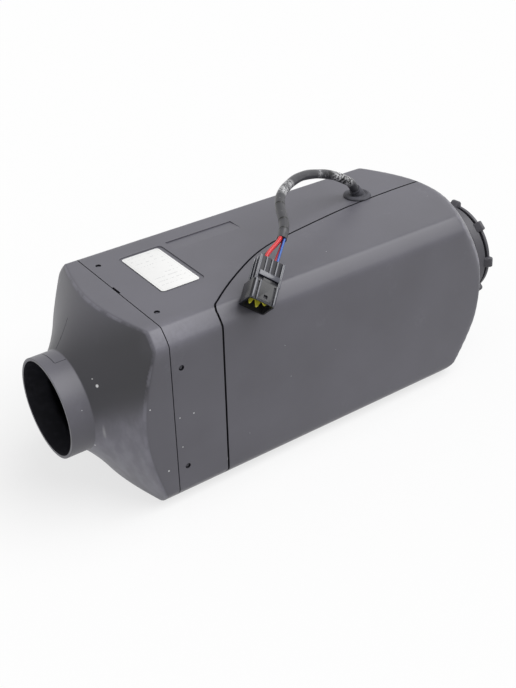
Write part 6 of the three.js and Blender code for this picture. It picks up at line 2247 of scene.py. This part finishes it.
@dataclass
class Studio:
    """The camera, the pale floor and the soft lights."""

    place: Point = (-423.9, -580.3, 510.7)
    right: Point = (0.811, -0.584, -0.019)
    up: Point = (0.329, 0.43, 0.841)
    focal: float = 1069.36
    long_side: int = 688

    def build(self) -> None:
        """Sets up the studio."""
        scene = bpy.context.scene
        scene.view_settings.view_transform = "Standard"
        self._camera(scene)
        self._world(scene)
        self._floor()
        self._sun("soft_sky_light", (0.42, -0.3, 0.86), 55.0, 2.4)

    def _camera(self, scene: bpy.types.Scene) -> None:
        """Puts the camera where the photograph was taken from."""
        data = bpy.data.cameras.new("camera")
        data.lens = self.focal * 36 / self.long_side
        data.clip_start, data.clip_end = 0.01, 20
        camera = Workshop.in_scene("camera", data)
        right = Vector(self.right).normalized()
        up = (Vector(self.up) - right * right.dot(Vector(self.up))).normalized()
        turn = Matrix((right, up, right.cross(up))).transposed().to_4x4()
        camera.matrix_world = Matrix.Translation(Vector(self.place) * MM) @ turn
        scene.camera = camera

    @staticmethod
    def _world(scene: bpy.types.Scene) -> None:
        """A dim surround for light and a white one for the camera and for reflections."""
        world = bpy.data.worlds.new("surround")
        scene.world = world
        world.use_nodes = True
        tree = NodeTree(world.node_tree)
        tree.tree.nodes.clear()
        plain = tree.add("ShaderNodeBackground", None, {"Color": WHITE, "Strength": DIM_SURROUND})
        white = tree.add("ShaderNodeBackground", None, {"Color": WHITE, "Strength": 1.0})
        share = Studio._shown(tree)
        mixed = tree.add("ShaderNodeMixShader", None, {0: share, 1: plain.outputs[0], 2: white.outputs[0]})
        tree.add("ShaderNodeOutputWorld", None, {"Surface": mixed.outputs[0]})

    @staticmethod
    def _shown(tree: NodeTree) -> Field:
        """1 for rays from the camera and for those that metal or glass sends on, else 0."""
        rays = tree.add("ShaderNodeLightPath").outputs
        kinds = ("Camera", "Glossy", "Transmission")
        camera, glossy, passed = (Field(tree, rays[f"Is {kind} Ray"]) for kind in kinds)
        return camera.top(glossy).top(passed)

    @staticmethod
    def _floor() -> None:
        """A pale floor that shows white and keeps the heater's soft shadow."""
        corners = [(x * FLOOR_HALF, y * FLOOR_HALF, 0) for x, y in ((-1, -1), (1, -1), (1, 1), (-1, 1))]
        floor = Workshop.mesh("floor", corners, [(0, 1, 2, 3)])
        surface = Surface("floor_white")
        shown = Studio._shown(surface)
        surface.set(Base_Color=surface.blend((0.6, 0.6, 0.6), (0.97, 0.97, 0.97), shown), Roughness=0.9)
        surface.set(Specular_IOR_Level=0.0)
        glow = surface.add("ShaderNodeEmission", None, {"Color": WHITE, "Strength": 1.0}).outputs[0]
        parts = {0: shown * FLOOR_GLOW, 1: surface.shader.outputs[0], 2: glow}
        mixed = surface.add("ShaderNodeMixShader", None, parts)
        surface.join(surface.output.inputs[0], mixed.outputs[0])
        floor.data.materials.append(surface.material)

    @staticmethod
    def _sun(name: str, towards: Point, spread: float, strength: float) -> None:
        """A very soft light from far away.

        Args:
            name: The lamp's name.
            towards: The way from the heater to the light.
            spread: How wide the light is, in degrees.
            strength: Its strength in watts per square metre.
        """
        data = bpy.data.lights.new(name, "SUN")
        data.energy, data.angle = strength, math.radians(spread)
        lamp = Workshop.in_scene(name, data)
        lamp.location = Vector(towards)
        lamp.rotation_euler = Vector(towards).to_track_quat("Z", "Y").to_euler()


def main() -> None:
    """Builds the studio and every piece in order."""
    logging.basicConfig(level=logging.INFO, format="%(name)s %(message)s")
    Studio().build()
    Harness().build()
    shells = Shells()
    shells.cover()
    shells.shell()
    Hood().build()
    Inlet().build()
    Label().build()
    Foot().build()
    CarriedOver().dress()


if __name__ == "__main__":
    main()
